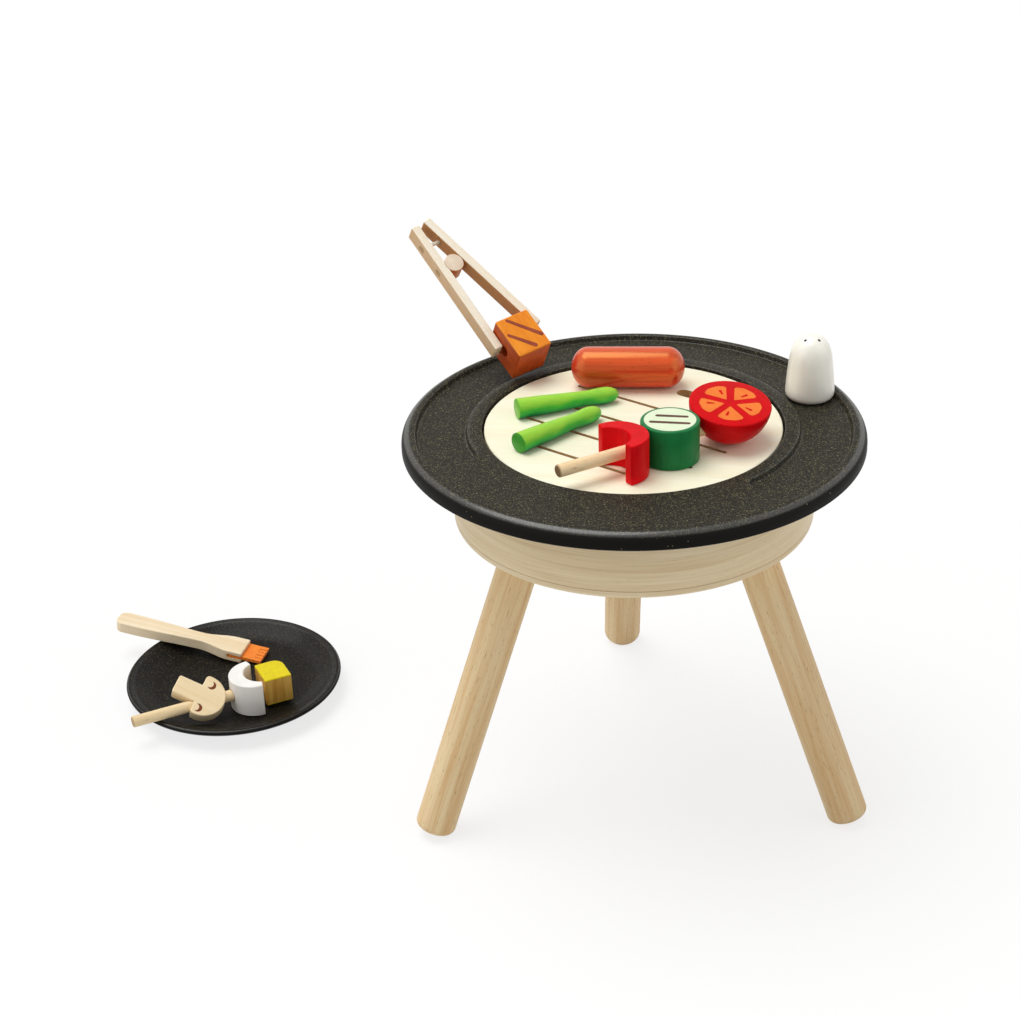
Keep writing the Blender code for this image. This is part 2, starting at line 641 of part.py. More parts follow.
def make_sausage(top):
    """A turned sausage with elliptic ends, lying on the grate."""
    half = SAUSAGE_LENGTH / 2
    ends = []
    for degrees in SAUSAGE_END_ANGLES:
        angle = math.radians(degrees)
        ends.append((SAUSAGE_RADIUS * math.sin(angle), half - SAUSAGE_END * (1 - math.cos(angle))))
    ends.append((SAUSAGE_RADIUS, half - SAUSAGE_END))
    profile = ends + [(radius, -place) for radius, place in reversed(ends)]
    red = material("red_paint", (0.55, 0.07, 0.02), 0.35)
    place = (*on_grate(SAUSAGE_PLACE_SHARES), SAUSAGE_RADIUS + GAP)
    add_piece("sausage", along_x(turned(profile, ROUND_SIDES)), red, top, place, (0, 0, SAUSAGE_ANGLE))


def make_asparagus(name, place_shares, angle, top):
    """A turned spear whose base and head both lie on the grate."""
    profile = [(0, 0), (ASPARAGUS_RADIUS - ASPARAGUS_EDGE, 0), (ASPARAGUS_RADIUS, ASPARAGUS_EDGE)]
    profile += [(ASPARAGUS_RADIUS * wide, ASPARAGUS_LENGTH * along) for along, wide in ASPARAGUS_SHARES]
    profile += [(0, ASPARAGUS_LENGTH)]
    head_along, head_wide = ASPARAGUS_HEAD_SHARES
    tilt = math.atan(ASPARAGUS_RADIUS * (1 - head_wide) / (ASPARAGUS_LENGTH * head_along))
    green = material("green_paint", (0.10, 0.45, 0.03), 0.40)
    place = (*on_grate(place_shares), ASPARAGUS_RADIUS + GAP)
    add_piece(name, along_x(turned(profile, SMALL_SIDES)), green, top, place, (0, tilt, angle))


def make_stick(name, parent, anchor, from_end, height, angle):
    """A dowel with +X along it from its near end, its far end less from_end over the anchor."""
    reach = STICK_LENGTH - from_end
    place = (anchor[0] - reach * math.cos(angle), anchor[1] - reach * math.sin(angle), height)
    bm = along_x(chamfered_rod(STICK_RADIUS, 0, STICK_LENGTH, STICK_CHAMFER, SMALL_SIDES))
    return add_piece(name, bm, natural_wood(), parent, place, (0, 0, angle))


def drill_for_stick(piece, stick, start, end):
    """Drill the stick's hole in a piece between two places along the stick."""
    cut(piece, along_x(cylinder(STICK_HOLE_RADIUS, start, end, SMALL_SIDES)), stick)


def make_skewer(top):
    """The skewer on the grate: half a pepper, a slice of zucchini and half a tomato on a stick."""
    height = ZUCCHINI_HEIGHT / 2 + GAP
    anchor = on_grate(ZUCCHINI_PLACE_SHARES)
    stick = make_stick("skewer_stick", top, anchor, ZUCCHINI_FROM_END, height, SKEWER_ANGLE)
    zucchini_along = STICK_LENGTH - ZUCCHINI_FROM_END
    half = ZUCCHINI_HEIGHT / 2
    corners = [(0, -half, 0), (ZUCCHINI_RADIUS, -half, ZUCCHINI_EDGE), (ZUCCHINI_RADIUS, half, ZUCCHINI_EDGE)]
    corners += [(0, half, 0)]
    dark_green = material("dark_green_paint", (0.0, 0.12, 0.04), 0.35)
    slice_bm = turned(rounded(corners, 2), FINE_SIDES)
    zucchini = add_piece("zucchini", slice_bm, dark_green, stick, (zucchini_along, 0, 0))
    drill_for_stick(zucchini, stick, 0, STICK_LENGTH)
    red = material("bright_red_paint", (0.62, 0.01, 0.01), 0.30)
    pepper_along = zucchini_along - ZUCCHINI_RADIUS - GAP - PEPPER_RADIUS
    hollow = (PEPPER_HOLLOW_RADIUS, PEPPER_HOLLOW_SHIFT)
    ring = half_ring(PEPPER_RADIUS, *hollow, PEPPER_OUTER_END, PEPPER_INNER_END, PEPPER_HEIGHT)
    pepper_rise = (PEPPER_HEIGHT - ZUCCHINI_HEIGHT) / 2
    pepper = add_piece("red_pepper", ring, red, stick, (pepper_along, 0, pepper_rise))
    round_edges(pepper, FOOD_EDGE)
    drill_for_stick(pepper, stick, 0, STICK_LENGTH)
    quarter = arc(0, 0, TOMATO_RADIUS, -math.pi / 2, 0, TOMATO_RINGS)[1:-1]
    flat = TOMATO_RADIUS - TOMATO_EDGE
    profile = [(0, -TOMATO_RADIUS)] + quarter + [(TOMATO_RADIUS, -TOMATO_EDGE), (flat, 0), (0, 0)]
    tomato_along = zucchini_along + ZUCCHINI_RADIUS + TOMATO_SPACE + TOMATO_RADIUS
    tomato = add_piece("tomato_half", turned(profile, FINE_SIDES), red, stick,
                       (tomato_along, 0, TOMATO_RADIUS + GAP - height), (TOMATO_TILT, 0, 0))
    drill_for_stick(tomato, stick, STICK_LENGTH / 2, STICK_LENGTH + STICK_END_PLAY)


def make_salmon_cube(top):
    """The block between the tongs' tips: one corner rests on the rim, and a stick hole runs across it."""
    half = Vector((CUBE_WIDTH, CUBE_DEPTH, CUBE_HEIGHT)) / 2
    upward = Vector((0, 0, 1))
    upward.rotate(euler_matrix(CUBE_TURN).inverted())
    reach = CUBE_EDGE + sum(abs(upward[axis]) * (half[axis] - CUBE_EDGE) for axis in range(3))
    orange = material("orange_stain", (0.85, 0.25, 0.02), 0.40)
    place = (RIM_RADIUS * CUBE_PLACE_SHARES[0], RIM_RADIUS * CUBE_PLACE_SHARES[1], RIM_LIP + GAP + reach)
    cube = add_piece("salmon_cube", box(-half, half), orange, top, place, CUBE_TURN)
    round_edges(cube, CUBE_EDGE)
    drill = along_x(cylinder(STICK_HOLE_RADIUS, -half.x - OVERRUN, half.x + OVERRUN, SMALL_SIDES))
    cut(cube, drill, cube)
    return cube


def euler_matrix(turn):
    """Return the 3 x 3 matrix of three Euler angles taken in XYZ order."""
    spin_x, spin_y, spin_z = (Matrix.Rotation(angle, 3, axis) for angle, axis in zip(turn, "XYZ"))
    return spin_z @ spin_y @ spin_x


def make_tongs(cube):
    """Two arms that rock on a cross roller. +X runs from the left arm to the right one, +Y to the tails."""
    turn = Matrix.Rotation(TONGS_PITCH, 3, "X") @ Matrix.Rotation(TONGS_YAW, 3, "Z")
    tip = Vector((-CUBE_WIDTH / 2 - GAP, CUBE_DEPTH / 2 - TONGS_GRIP, -TONGS_DROP))
    tongs = empty("tongs", cube, tip, turn.to_euler())
    half = ARM_HEIGHT / 2

    # The right arm's inner side is the line that touches two circles: the roller and the cube's far edge
    edge_back = CUBE_DEPTH / 2 - CUBE_EDGE
    edge_rise = (edge_back - tip.y) * math.tan(TONGS_PITCH) - TONGS_DROP
    edge = turn.inverted() @ (Vector((CUBE_WIDTH / 2 - CUBE_EDGE, edge_back, edge_rise)) - tip)
    roller = Vector((ROLLER_RADIUS - ROLLER_SEAT, ROLLER_ALONG, 0))
    away = edge - roller
    edge_sway = half * math.tan(TONGS_PITCH) * math.tan(math.atan2(away.x, -away.y))
    edge_reach = CUBE_EDGE + GAP + edge_sway
    roller_reach = ROLLER_RADIUS + GAP
    lean = math.atan2(-away.y, away.x)
    spread = math.acos((roller_reach - edge_reach) / math.hypot(away.x, away.y)) - lean

    wood = natural_wood()
    left = add_piece("tongs_arm_left", box((-ARM_WIDTH, 0, -half), (0, ARM_LENGTH, half)), wood, tongs)
    round_edges(left, ARM_EDGE)
    groove = cylinder(ROLLER_RADIUS + GAP, -half - OVERRUN, half + OVERRUN, ROUND_SIDES)
    cut(left, groove, tongs, roller)
    pin_hole_radius = PIN_RADIUS + PIN_CLEARANCE
    pin_end = PIN_DEPTH_IN_ROLLER - ROLLER_SEAT
    pin_drill = (pin_hole_radius, -ARM_WIDTH - OVERRUN, pin_end)
    cut(left, along_x(cylinder(*pin_drill, SMALL_SIDES)), tongs, (0, ROLLER_ALONG, 0))
    elastic_hole = ELASTIC_RADIUS + GAP
    cut(left, along_x(cylinder(elastic_hole, -ARM_WIDTH - OVERRUN, OVERRUN, TINY_SIDES)), tongs,
        (0, ELASTIC_ALONG, 0))
    plug_floor = PLUG_LENGTH + GAP
    plug_hole = PLUG_RADIUS + GAP
    cut(left, along_x(cylinder(plug_hole, -ARM_WIDTH - OVERRUN, plug_floor - ARM_WIDTH, SMALL_SIDES)), tongs,
        (0, ELASTIC_ALONG, 0))

    rod = cylinder(ROLLER_RADIUS, -half, half, ROUND_SIDES)
    cross_roller = add_piece("tongs_roller", rod, wood, tongs, roller)
    cut(cross_roller, along_x(cylinder(*pin_drill, SMALL_SIDES)), tongs, (0, ROLLER_ALONG, 0))
    pin = along_x(cylinder(PIN_RADIUS, -ARM_WIDTH, pin_end - GAP, TINY_SIDES))
    add_piece("tongs_roller_pin", pin, wood, tongs, (0, ROLLER_ALONG, 0))
    plug = along_x(cylinder(PLUG_RADIUS, 0, PLUG_LENGTH, SMALL_SIDES))
    add_piece("tongs_plug_left", plug, wood, tongs, (-ARM_WIDTH, ELASTIC_ALONG, 0))

    outer = roller_reach + ARM_WIDTH
    arm = box((roller_reach, -ROLLER_ALONG, -half), (outer, ARM_LENGTH - ROLLER_ALONG, half))
    right = add_piece("tongs_arm_right", arm, wood, tongs, roller, (0, 0, spread))
    round_edges(right, ARM_EDGE)
    beyond = ELASTIC_ALONG - ROLLER_ALONG
    mouth = roller.x + (roller_reach - beyond * math.sin(spread)) / math.cos(spread)
    cut(right, along_x(cylinder(ELASTIC_HOLE_RADIUS, -OVERRUN, ELASTIC_HOLE_DEPTH, SMALL_SIDES)), tongs,
        (mouth, ELASTIC_ALONG, 0))
    plug_across = outer - PLUG_LENGTH
    across = (plug_across - beyond * math.sin(spread)) / math.cos(spread)
    plug_along = beyond * math.cos(spread) - across * math.sin(spread)
    cut(right, along_x(cylinder(plug_hole, -GAP, PLUG_LENGTH + OVERRUN, SMALL_SIDES)), right,
        (plug_across, plug_along, 0))
    plug = along_x(cylinder(PLUG_RADIUS, 0, PLUG_LENGTH, SMALL_SIDES))
    add_piece("tongs_plug_right", plug, wood, right, (plug_across, plug_along, 0))
    white_rubber = material("white_rubber", (0.85, 0.82, 0.72), 0.60)
    cord = along_x(cylinder(ELASTIC_RADIUS, plug_floor - ARM_WIDTH + GAP, mouth + ELASTIC_ENTRY, TINY_SIDES))
    add_piece("tongs_elastic", cord, white_rubber, tongs, (0, ELASTIC_ALONG, 0))


def make_salt_shaker(root):
    """A turned shaker with two blind holes, standing in the rim's tray."""
    corners = [(0, 0, 0), (SHAKER_RADIUS, 0, SHAKER_BASE_FILLET)]
    corners += [(SHAKER_RADIUS * wide, SHAKER_HEIGHT * high, 0) for wide, high in SHAKER_SHARES]
    corners += [(0, SHAKER_HEIGHT, 0)]
    white = material("white_paint", (0.85, 0.84, 0.80), 0.30)
    height = RIM_TOP - TRAY_DEPTH + GAP
    radius = TRAY_RADIUS + SHAKER_OUTWARD
    place = (radius * math.cos(SHAKER_AZIMUTH), radius * math.sin(SHAKER_AZIMUTH), height)
    shaker = add_piece("salt_shaker", turned(rounded(corners), ROUND_SIDES), white, root, place)
    bottom = SHAKER_HEIGHT - SHAKER_HOLE_DEPTH
    for side in (-1, 1):
        drill = cylinder(SHAKER_HOLE_RADIUS, bottom, SHAKER_HEIGHT + OVERRUN, TINY_SIDES)
        cut(shaker, drill, shaker, (side * SHAKER_HOLE_SPACING / 2, -SHAKER_HOLE_FORWARD, 0))


def make_plate(root):
    """The moulded plate on its foot ring."""
    foot_inner = PLATE_FOOT_RADIUS - PLATE_FOOT_WIDTH
    profile = [(0, PLATE_FOOT_RISE), (foot_inner, PLATE_FOOT_RISE), (foot_inner, 0), (PLATE_FOOT_RADIUS, 0)]
    for out, high in PLATE_UNDER_SHARES + PLATE_LIP_SHARES + PLATE_UPPER_SHARES:
        profile.append((PLATE_FLOOR_RADIUS + PLATE_WALL_RUN * out, PLATE_HEIGHT * high))
    profile += [(PLATE_FLOOR_RADIUS, PLATE_FLOOR), (0, PLATE_FLOOR)]
    dish = turned(profile, BOWL_SIDES)
    return add_piece("plate", dish, black_moulding(), root, (PLATE_X, PLATE_Y, 0), (0, 0, PLATE_ANGLE))


def brush_half_widths():
    """Return (place, half width) pairs along the handle, eased between head, neck and grip."""
    stations = [(BRUSH_HEAD_SHARE, BRUSH_HEAD_WIDTH), (BRUSH_NECK_SHARE, BRUSH_NECK_WIDTH)]
    stations += [(BRUSH_GRIP_SHARE, BRUSH_GRIP_WIDTH)]
    pairs = [(0, BRUSH_HEAD_WIDTH / 2)]
    for (start, wide), (end, next_wide) in zip(stations, stations[1:]):
        for step in range(BRUSH_CURVE_STEPS):
            share = step / BRUSH_CURVE_STEPS
            ease = share * share * (3 - 2 * share)
            place = BRUSH_LENGTH * (start + (end - start) * share)
            pairs.append((place, (wide + (next_wide - wide) * ease) / 2))
    return pairs


def make_brush(plate):
    """The brush: its head's lower edge lies on the plate's floor and its handle leans on the plate's lip."""
    spot = Vector(on_plate(BRUSH_PLACE_SHARES))
    heading = Vector((math.cos(BRUSH_ANGLE), math.sin(BRUSH_ANGLE)))
    side = heading.orthogonal().normalized() * BRUSH_GRIP_WIDTH / 2
    crest = PLATE_FLOOR_RADIUS + PLATE_WALL_RUN * PLATE_CREST_SHARE
    reaches = []
    for corner in (spot - side, spot + side):
        lead = corner.dot(heading)
        reaches.append(math.sqrt(lead ** 2 - corner.length_squared + crest ** 2) - lead)
    floor = PLATE_FLOOR + GAP
    tilt = math.atan((PLATE_HEIGHT + GAP - floor) / min(reaches))
    brush = empty("brush", plate, (spot.x, spot.y, floor), (0, -tilt, BRUSH_ANGLE))

    corners = [(place, -wide, 0) for place, wide in brush_half_widths()]
    grip = BRUSH_GRIP_WIDTH / 2
    corners += [(BRUSH_LENGTH, -grip, BRUSH_END_FILLET), (BRUSH_LENGTH, grip, BRUSH_END_FILLET)]
    corners += [(place, wide, 0) for place, wide in reversed(brush_half_widths())]
    handle = add_piece("brush_handle", extruded(rounded(corners), 0, BRUSH_THICKNESS), natural_wood(), brush)
    round_edges(handle, BRUSH_EDGE, 1)
    middle = BRUSH_THICKNESS / 2
    slot_half = BRISTLE_THICKNESS / 2 + GAP
    low = (-OVERRUN, -BRUSH_HEAD_WIDTH, middle - slot_half)
    cut(handle, box(low, (BRISTLE_SEAT, BRUSH_HEAD_WIDTH, middle + slot_half)), brush)

    tuft = (BRISTLE_WIDTH - (BRISTLE_TUFTS - 1) * BRISTLE_SLIT_WIDTH) / BRISTLE_TUFTS
    outline = [(BRISTLE_SEAT - GAP, BRISTLE_WIDTH / 2), (BRISTLE_SEAT - GAP, -BRISTLE_WIDTH / 2)]
    for index in range(BRISTLE_TUFTS):
        near = index * (tuft + BRISTLE_SLIT_WIDTH) - BRISTLE_WIDTH / 2
        if index > 0:
            outline.append((BRISTLE_SLIT_LENGTH - BRISTLE_LENGTH, near))
        outline += [(-BRISTLE_LENGTH, near), (-BRISTLE_LENGTH, near + tuft)]
        if index < BRISTLE_TUFTS - 1:
            outline.append((BRISTLE_SLIT_LENGTH - BRISTLE_LENGTH, near + tuft))
    pad = extruded(outline, middle - BRISTLE_THICKNESS / 2, middle + BRISTLE_THICKNESS / 2)
    add_piece("brush_bristles", pad, material("orange_felt", (0.95, 0.28, 0.01), 0.80), brush)


def make_plate_skewer(plate):
    """The skewer on the plate: a slice of mushroom, half an onion and a block of pepper on a stick."""
    height = PLATE_FLOOR + GAP + ONION_HEIGHT / 2
    anchor = on_plate(PLATE_SKEWER_END_SHARES)
    stick = make_stick("plate_skewer_stick", plate, anchor, 0, height, PLATE_SKEWER_ANGLE)
    white = material("white_paint", (0.85, 0.84, 0.80), 0.30)
    hollow = (ONION_HOLLOW_RADIUS, ONION_HOLLOW_SHIFT)
    ring = half_ring(ONION_RADIUS, *hollow, ONION_OUTER_END, ONION_INNER_END, ONION_HEIGHT)
    onion_place = (STICK_LENGTH - ONION_FROM_END, ONION_ACROSS, 0)
    onion = add_piece("onion", ring, white, stick, onion_place, (0, 0, math.pi))
    round_edges(onion, FOOD_EDGE)
    drill_for_stick(onion, stick, 0, STICK_LENGTH)

    yellow = material("yellow_paint", (0.90, 0.68, 0.0), 0.35)
    depth, width = BLOCK_DEPTH / 2, BLOCK_WIDTH / 2
    corners = [(-depth, -width, BLOCK_EDGE), (depth, -width, BLOCK_EDGE), (depth, width, BLOCK_CORNER)]
    corners += [(-depth, width, BLOCK_EDGE)]
    solid = extruded(rounded(corners, BLOCK_CORNER_STEPS), -BLOCK_HEIGHT / 2, BLOCK_HEIGHT / 2)
    block_place = (STICK_LENGTH - BLOCK_FROM_END, BLOCK_ACROSS, 0)
    block = add_piece("yellow_pepper", solid, yellow, stick, block_place)
    round_edges(block, FOOD_EDGE)
    drill_for_stick(block, stick, 0, STICK_LENGTH + BLOCK_DEPTH)

    half_stem = MUSHROOM_STEM_WIDTH / 2
    under = -MUSHROOM_CAP_UNDER
    cap = arc(0, 0, MUSHROOM_CAP_RADIUS, -math.pi / 2, math.pi / 2, HALF_RING_STEPS)
    corners = [(x, y, 0) for x, y in cap]
    corners += [(under, MUSHROOM_CAP_RADIUS, MUSHROOM_CAP_FILLET), (under, half_stem, 0)]
    corners += [(-MUSHROOM_STEM_LENGTH, half_stem, MUSHROOM_STEM_FILLET)]
    corners += [(-MUSHROOM_STEM_LENGTH, -half_stem, MUSHROOM_STEM_FILLET), (under, -half_stem, 0)]
    corners += [(under, -MUSHROOM_CAP_RADIUS, MUSHROOM_CAP_FILLET)]
    slab = extruded(rounded(corners), -MUSHROOM_THICKNESS / 2, MUSHROOM_THICKNESS / 2)
    roll = Matrix.Rotation(MUSHROOM_ROLL, 3, "X")
    place = roll @ Vector((STICK_LENGTH - MUSHROOM_FROM_END, MUSHROOM_ACROSS, 0))
    turn = roll @ Matrix.Rotation(MUSHROOM_TURN, 3, "Z")
    mushroom = add_piece("mushroom", slab, natural_wood(), stick, place, turn.to_euler())
    round_edges(mushroom, FOOD_EDGE)
    drill_for_stick(mushroom, stick, 0, STICK_LENGTH)


def centre_on_footprint(root):
    """Shift the whole set so that the origin is the bottom centre of its bounding box."""
    bpy.context.view_layer.update()
    graph = bpy.context.evaluated_depsgraph_get()
    points = []
    for item in bpy.context.scene.objects:
        if item.type == "MESH" and not item.hide_render:
            shape = item.evaluated_get(graph)
            points += [shape.matrix_world @ vert.co for vert in shape.data.vertices]
    low = [min(point[axis] for point in points) for axis in range(3)]
    high = [max(point[axis] for point in points) for axis in range(3)]
    root.location = (-(low[0] + high[0]) / 2, -(low[1] + high[1]) / 2, -low[2])


def build():
    clear_scene()
    root = empty("grill_set")
    make_rim(root)
    make_bowl_ring(root)
    make_base_board(root)
    for side, azimuth in LEG_AZIMUTHS.items():
        make_leg("leg_" + side, azimuth, root)
        make_leg_bolt("leg_bolt_" + side, azimuth, root)
        make_tee_nut("tee_nut_" + side, azimuth, root)
    for number, azimuth in enumerate(SCREW_AZIMUTHS, start=1):
        make_rim_screw("rim_screw_" + str(number), azimuth, root)
    top = make_grate(root)
    make_sausage(top)
    make_asparagus("asparagus_long", ASPARAGUS_LONG_PLACE_SHARES, ASPARAGUS_LONG_ANGLE, top)
    make_asparagus("asparagus_short", ASPARAGUS_SHORT_PLACE_SHARES, ASPARAGUS_SHORT_ANGLE, top)
    make_skewer(top)
    cube = make_salmon_cube(top)
    make_tongs(cube)
    make_salt_shaker(root)
    plate = make_plate(root)
    make_brush(plate)
    make_plate_skewer(plate)
    centre_on_footprint(root)


build()
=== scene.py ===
"""Looks of a toy barbecue grill: the grill, its food, the tongs, the shaker, the plate and the brush."""

from math import atan2, cos, degrees, hypot, pi, radians, remainder, sin, tan, tau

import bmesh
import bpy
from mathutils import Euler, Matrix, Vector


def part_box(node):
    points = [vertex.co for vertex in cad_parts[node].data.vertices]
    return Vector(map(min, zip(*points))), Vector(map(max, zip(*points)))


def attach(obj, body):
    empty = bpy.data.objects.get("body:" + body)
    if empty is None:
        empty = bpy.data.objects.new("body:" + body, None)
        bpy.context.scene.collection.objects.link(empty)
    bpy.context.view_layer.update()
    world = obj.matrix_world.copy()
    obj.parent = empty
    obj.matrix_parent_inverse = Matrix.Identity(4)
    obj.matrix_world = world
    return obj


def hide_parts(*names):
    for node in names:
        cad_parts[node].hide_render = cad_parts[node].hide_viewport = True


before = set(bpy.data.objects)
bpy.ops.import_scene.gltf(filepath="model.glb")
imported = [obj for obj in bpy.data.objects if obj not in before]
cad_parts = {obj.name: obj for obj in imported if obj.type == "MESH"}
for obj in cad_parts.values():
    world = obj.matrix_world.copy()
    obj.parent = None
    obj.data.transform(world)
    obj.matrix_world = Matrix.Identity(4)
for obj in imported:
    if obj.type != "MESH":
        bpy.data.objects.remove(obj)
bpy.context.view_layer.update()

# ---- Camera, floor and light
# The set stands on a plain pale studio floor, seen from above the front through a long lens. A big soft lamp
# hangs over it a little to the left, and a weaker one fills each side. Places are from the grill's axis.
GRATE_LOW, GRATE_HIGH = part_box("grate")
grill = Matrix.Translation(((GRATE_LOW.x + GRATE_HIGH.x) / 2, (GRATE_LOW.y + GRATE_HIGH.y) / 2, 0))
CAMERA_SPOT, CAMERA_YAW, CAMERA_PITCH, CAMERA_ROLL = (0, -1.368926, 0.962773), -3.857, 28.265, -2.088
LENS, SENSOR = 73.287, 36.0
FLOOR_RADIUS, FLOOR_COLOUR, FLOOR_GLOW, SKY_LEVEL = 4.0, "#D9D8D4", 0.76, 0.34
LAMPS = (("key_lamp", 155.0, 72.0, 1.90, 44.0), ("right_fill_lamp", -20.0, 22.0, 0.55, 60.0),
         ("left_fill_lamp", 205.0, 22.0, 0.60, 60.0))


def linear(code):
    """Turn an sRGB hex colour into linear red, green, blue and alpha."""
    channels = [int(code[place:place + 2], 16) / 255 for place in (1, 3, 5)]
    return (*[value / 12.92 if value <= 0.04045 else ((value + 0.055) / 1.055) ** 2.4 for value in channels],
            1.0)


def feed(node, inputs):
    """Set a node's inputs to values, hex colours, outputs or nodes, which give their first output in use."""
    for name, value in inputs.items():
        if isinstance(value, bpy.types.Node):
            value = next(socket for socket in value.outputs if socket.enabled)
        if isinstance(value, bpy.types.NodeSocket):
            node.id_data.links.new(value, node.inputs[name])
        else:
            is_colour = isinstance(value, str) and value.startswith("#")
            node.inputs[name].default_value = linear(value) if is_colour else value


def add_node(tree, kind, inputs=None, stops=(), **settings):
    """Add a node with its settings, inputs and colour stops. A short kind is a shader node's."""
    node = tree.nodes.new(kind if "Node" in kind else "ShaderNode" + kind)
    for name, value in settings.items():
        setattr(node, name, value)
    feed(node, inputs or {})
    for index, (place, colour) in enumerate(stops):
        stop = node.color_ramp.elements[index] if index < 2 else node.color_ramp.elements.new(place)
        stop.position, stop.color = place, linear(colour)
    return node


def seen_share(tree):
    """Return 1 where the camera looks, also by way of a reflection or a refraction, and 0 elsewhere."""
    ray = add_node(tree, "LightPath").outputs
    seen = add_node(tree, "Math", {0: ray["Is Camera Ray"], 1: ray["Is Glossy Ray"]}, operation="MAXIMUM")
    return add_node(tree, "Math", {0: seen, 1: ray["Is Transmission Ray"]}, operation="MAXIMUM")


def place_object(name, data, matrix=None):
    """Link a new object into the scene."""
    made = bpy.data.objects.new(name, data)
    bpy.context.scene.collection.objects.link(made)
    if matrix:
        made.matrix_world = matrix
    return made


scene = bpy.context.scene
scene.view_settings.view_transform = "Standard"
view = grill @ Matrix.Translation(CAMERA_SPOT)
for angle, axis in ((-CAMERA_YAW, "Z"), (90 - CAMERA_PITCH, "X"), (CAMERA_ROLL, "Z")):
    view = view @ Matrix.Rotation(radians(angle), 4, axis)
camera_data = bpy.data.cameras.new("camera")
camera_data.lens, camera_data.sensor_width, camera_data.sensor_fit = LENS, SENSOR, "HORIZONTAL"
scene.camera = place_object("camera", camera_data, view)

for lamp_name, azimuth, elevation, strength, spread in LAMPS:
    lamp = bpy.data.lights.new(lamp_name, "SUN")
    lamp.energy, lamp.angle = strength, radians(spread)
    toward = Vector((1, 0, 0))
    toward.rotate(Euler((0, radians(-elevation), radians(azimuth))))
    place_object(lamp_name, lamp, toward.to_track_quat("Z", "Y").to_matrix().to_4x4())

# White for the camera and for reflections, and a plain grey light for everything else
world = bpy.data.worlds.new("studio")
scene.world = world
world.use_nodes = True
sky = world.node_tree
sky.nodes.clear()
level = add_node(sky, "MapRange", {"Value": seen_share(sky), "To Min": SKY_LEVEL, "To Max": 1.0})
sky_light = add_node(sky, "Background", {"Color": "#FFFFFF", "Strength": level})
add_node(sky, "OutputWorld", {"Surface": sky_light})

bm = bmesh.new()
bmesh.ops.create_circle(bm, cap_ends=True, segments=128, radius=FLOOR_RADIUS)
floor_mesh = bpy.data.meshes.new("floor")
bm.to_mesh(floor_mesh)
bm.free()
floor = place_object("floor", floor_mesh)

# Matt paper, which glows where the camera sees it so that it goes over into the white behind it
paper = bpy.data.materials.new("matt_studio_paper")
paper.use_nodes = True
tree = paper.node_tree
tree.nodes.clear()
seen = seen_share(tree)
whiter = add_node(tree, "Mix", {0: seen, 6: FLOOR_COLOUR, 7: "#FDFDFC"}, data_type="RGBA")
matt = add_node(tree, "BsdfDiffuse", {"Color": whiter})
glow = add_node(tree, "Emission", {"Color": "#FFFFFF", "Strength": 1.0})
share = add_node(tree, "Math", {0: seen, 1: FLOOR_GLOW}, operation="MULTIPLY")
mixed = add_node(tree, "MixShader", {0: share, 1: matt, 2: glow})
add_node(tree, "OutputMaterial", {"Surface": mixed})
floor_mesh.materials.append(paper)

# ---- Rim
# A thick ring moulded in one piece from black plastic filled with ground wood, which gives it fine pale
# specks and a satin skin. It has a rolled edge, a shallow tray bent round it, and a ledge and collar inside.
RIM_RADIUS, RIM_INNER_RADIUS = 0.1698, 0.1105
RIM_TOP, RIM_SIDE_HEIGHT, RIM_SEAT = 0.2970, 0.0123, 0.2875
RIM_TOP_FILLET, RIM_SMALL_FILLET = 0.008, 0.001
SKIRT_RADIUS, COLLAR_RADIUS, COLLAR_INNER_RADIUS, LEDGE_RADIUS = 0.164, 0.12144, 0.11524, 0.1035
LEDGE_TOP, LEDGE_BOTTOM, COLLAR_BOTTOM = 0.2859, 0.2819, 0.2722
TRAY_RADIUS, TRAY_HALF_WIDTH, TRAY_CORNER, TRAY_DEPTH, TRAY_WALL = 0.1403, 0.0196, 0.009, 0.0035, 0.0025
TRAY_START, TRAY_END, TRAY_END_REACH = radians(-51.0), radians(206.5), radians(5.4)
MERGE, SMOOTH_ANGLE = 0.00001, radians(32)


def arc(centre_x, centre_y, radius, start, end, steps):
    """Return the points of an arc between two angles in degrees, both ends included."""
    angles = [radians(start + (end - start) * step / steps) for step in range(steps + 1)]
    return [(centre_x + radius * cos(angle), centre_y + radius * sin(angle)) for angle in angles]


def rounded(corners, steps=8):
    """Return an outline from corners of (x, y, radius), with an arc at each corner that has a radius."""
    outline = []
    for index, (x, y, radius) in enumerate(corners):
        if radius == 0:
            outline.append((x, y))
            continue
        here = Vector((x, y))
        before = (Vector(corners[index - 1][:2]) - here).normalized()
        after = (Vector(corners[(index + 1) % len(corners)][:2]) - here).normalized()
        half = before.angle(after) / 2
        centre = here + (before + after).normalized() * (radius / sin(half))
        first = here + before * (radius / tan(half)) - centre
        last = here + after * (radius / tan(half)) - centre
        start = degrees(atan2(first.y, first.x))
        turn = remainder(degrees(atan2(last.y, last.x)) - start, 360)
        outline.extend(arc(centre.x, centre.y, radius, start, start + turn, steps))
    return outline


def settle(piece):
    """Turn a piece and its modifiers into one plain mesh."""
    bpy.context.view_layer.update()
    graph = bpy.context.evaluated_depsgraph_get()
    made = bpy.data.meshes.new_from_object(piece.evaluated_get(graph))
    piece.modifiers.clear()
    piece.data = made


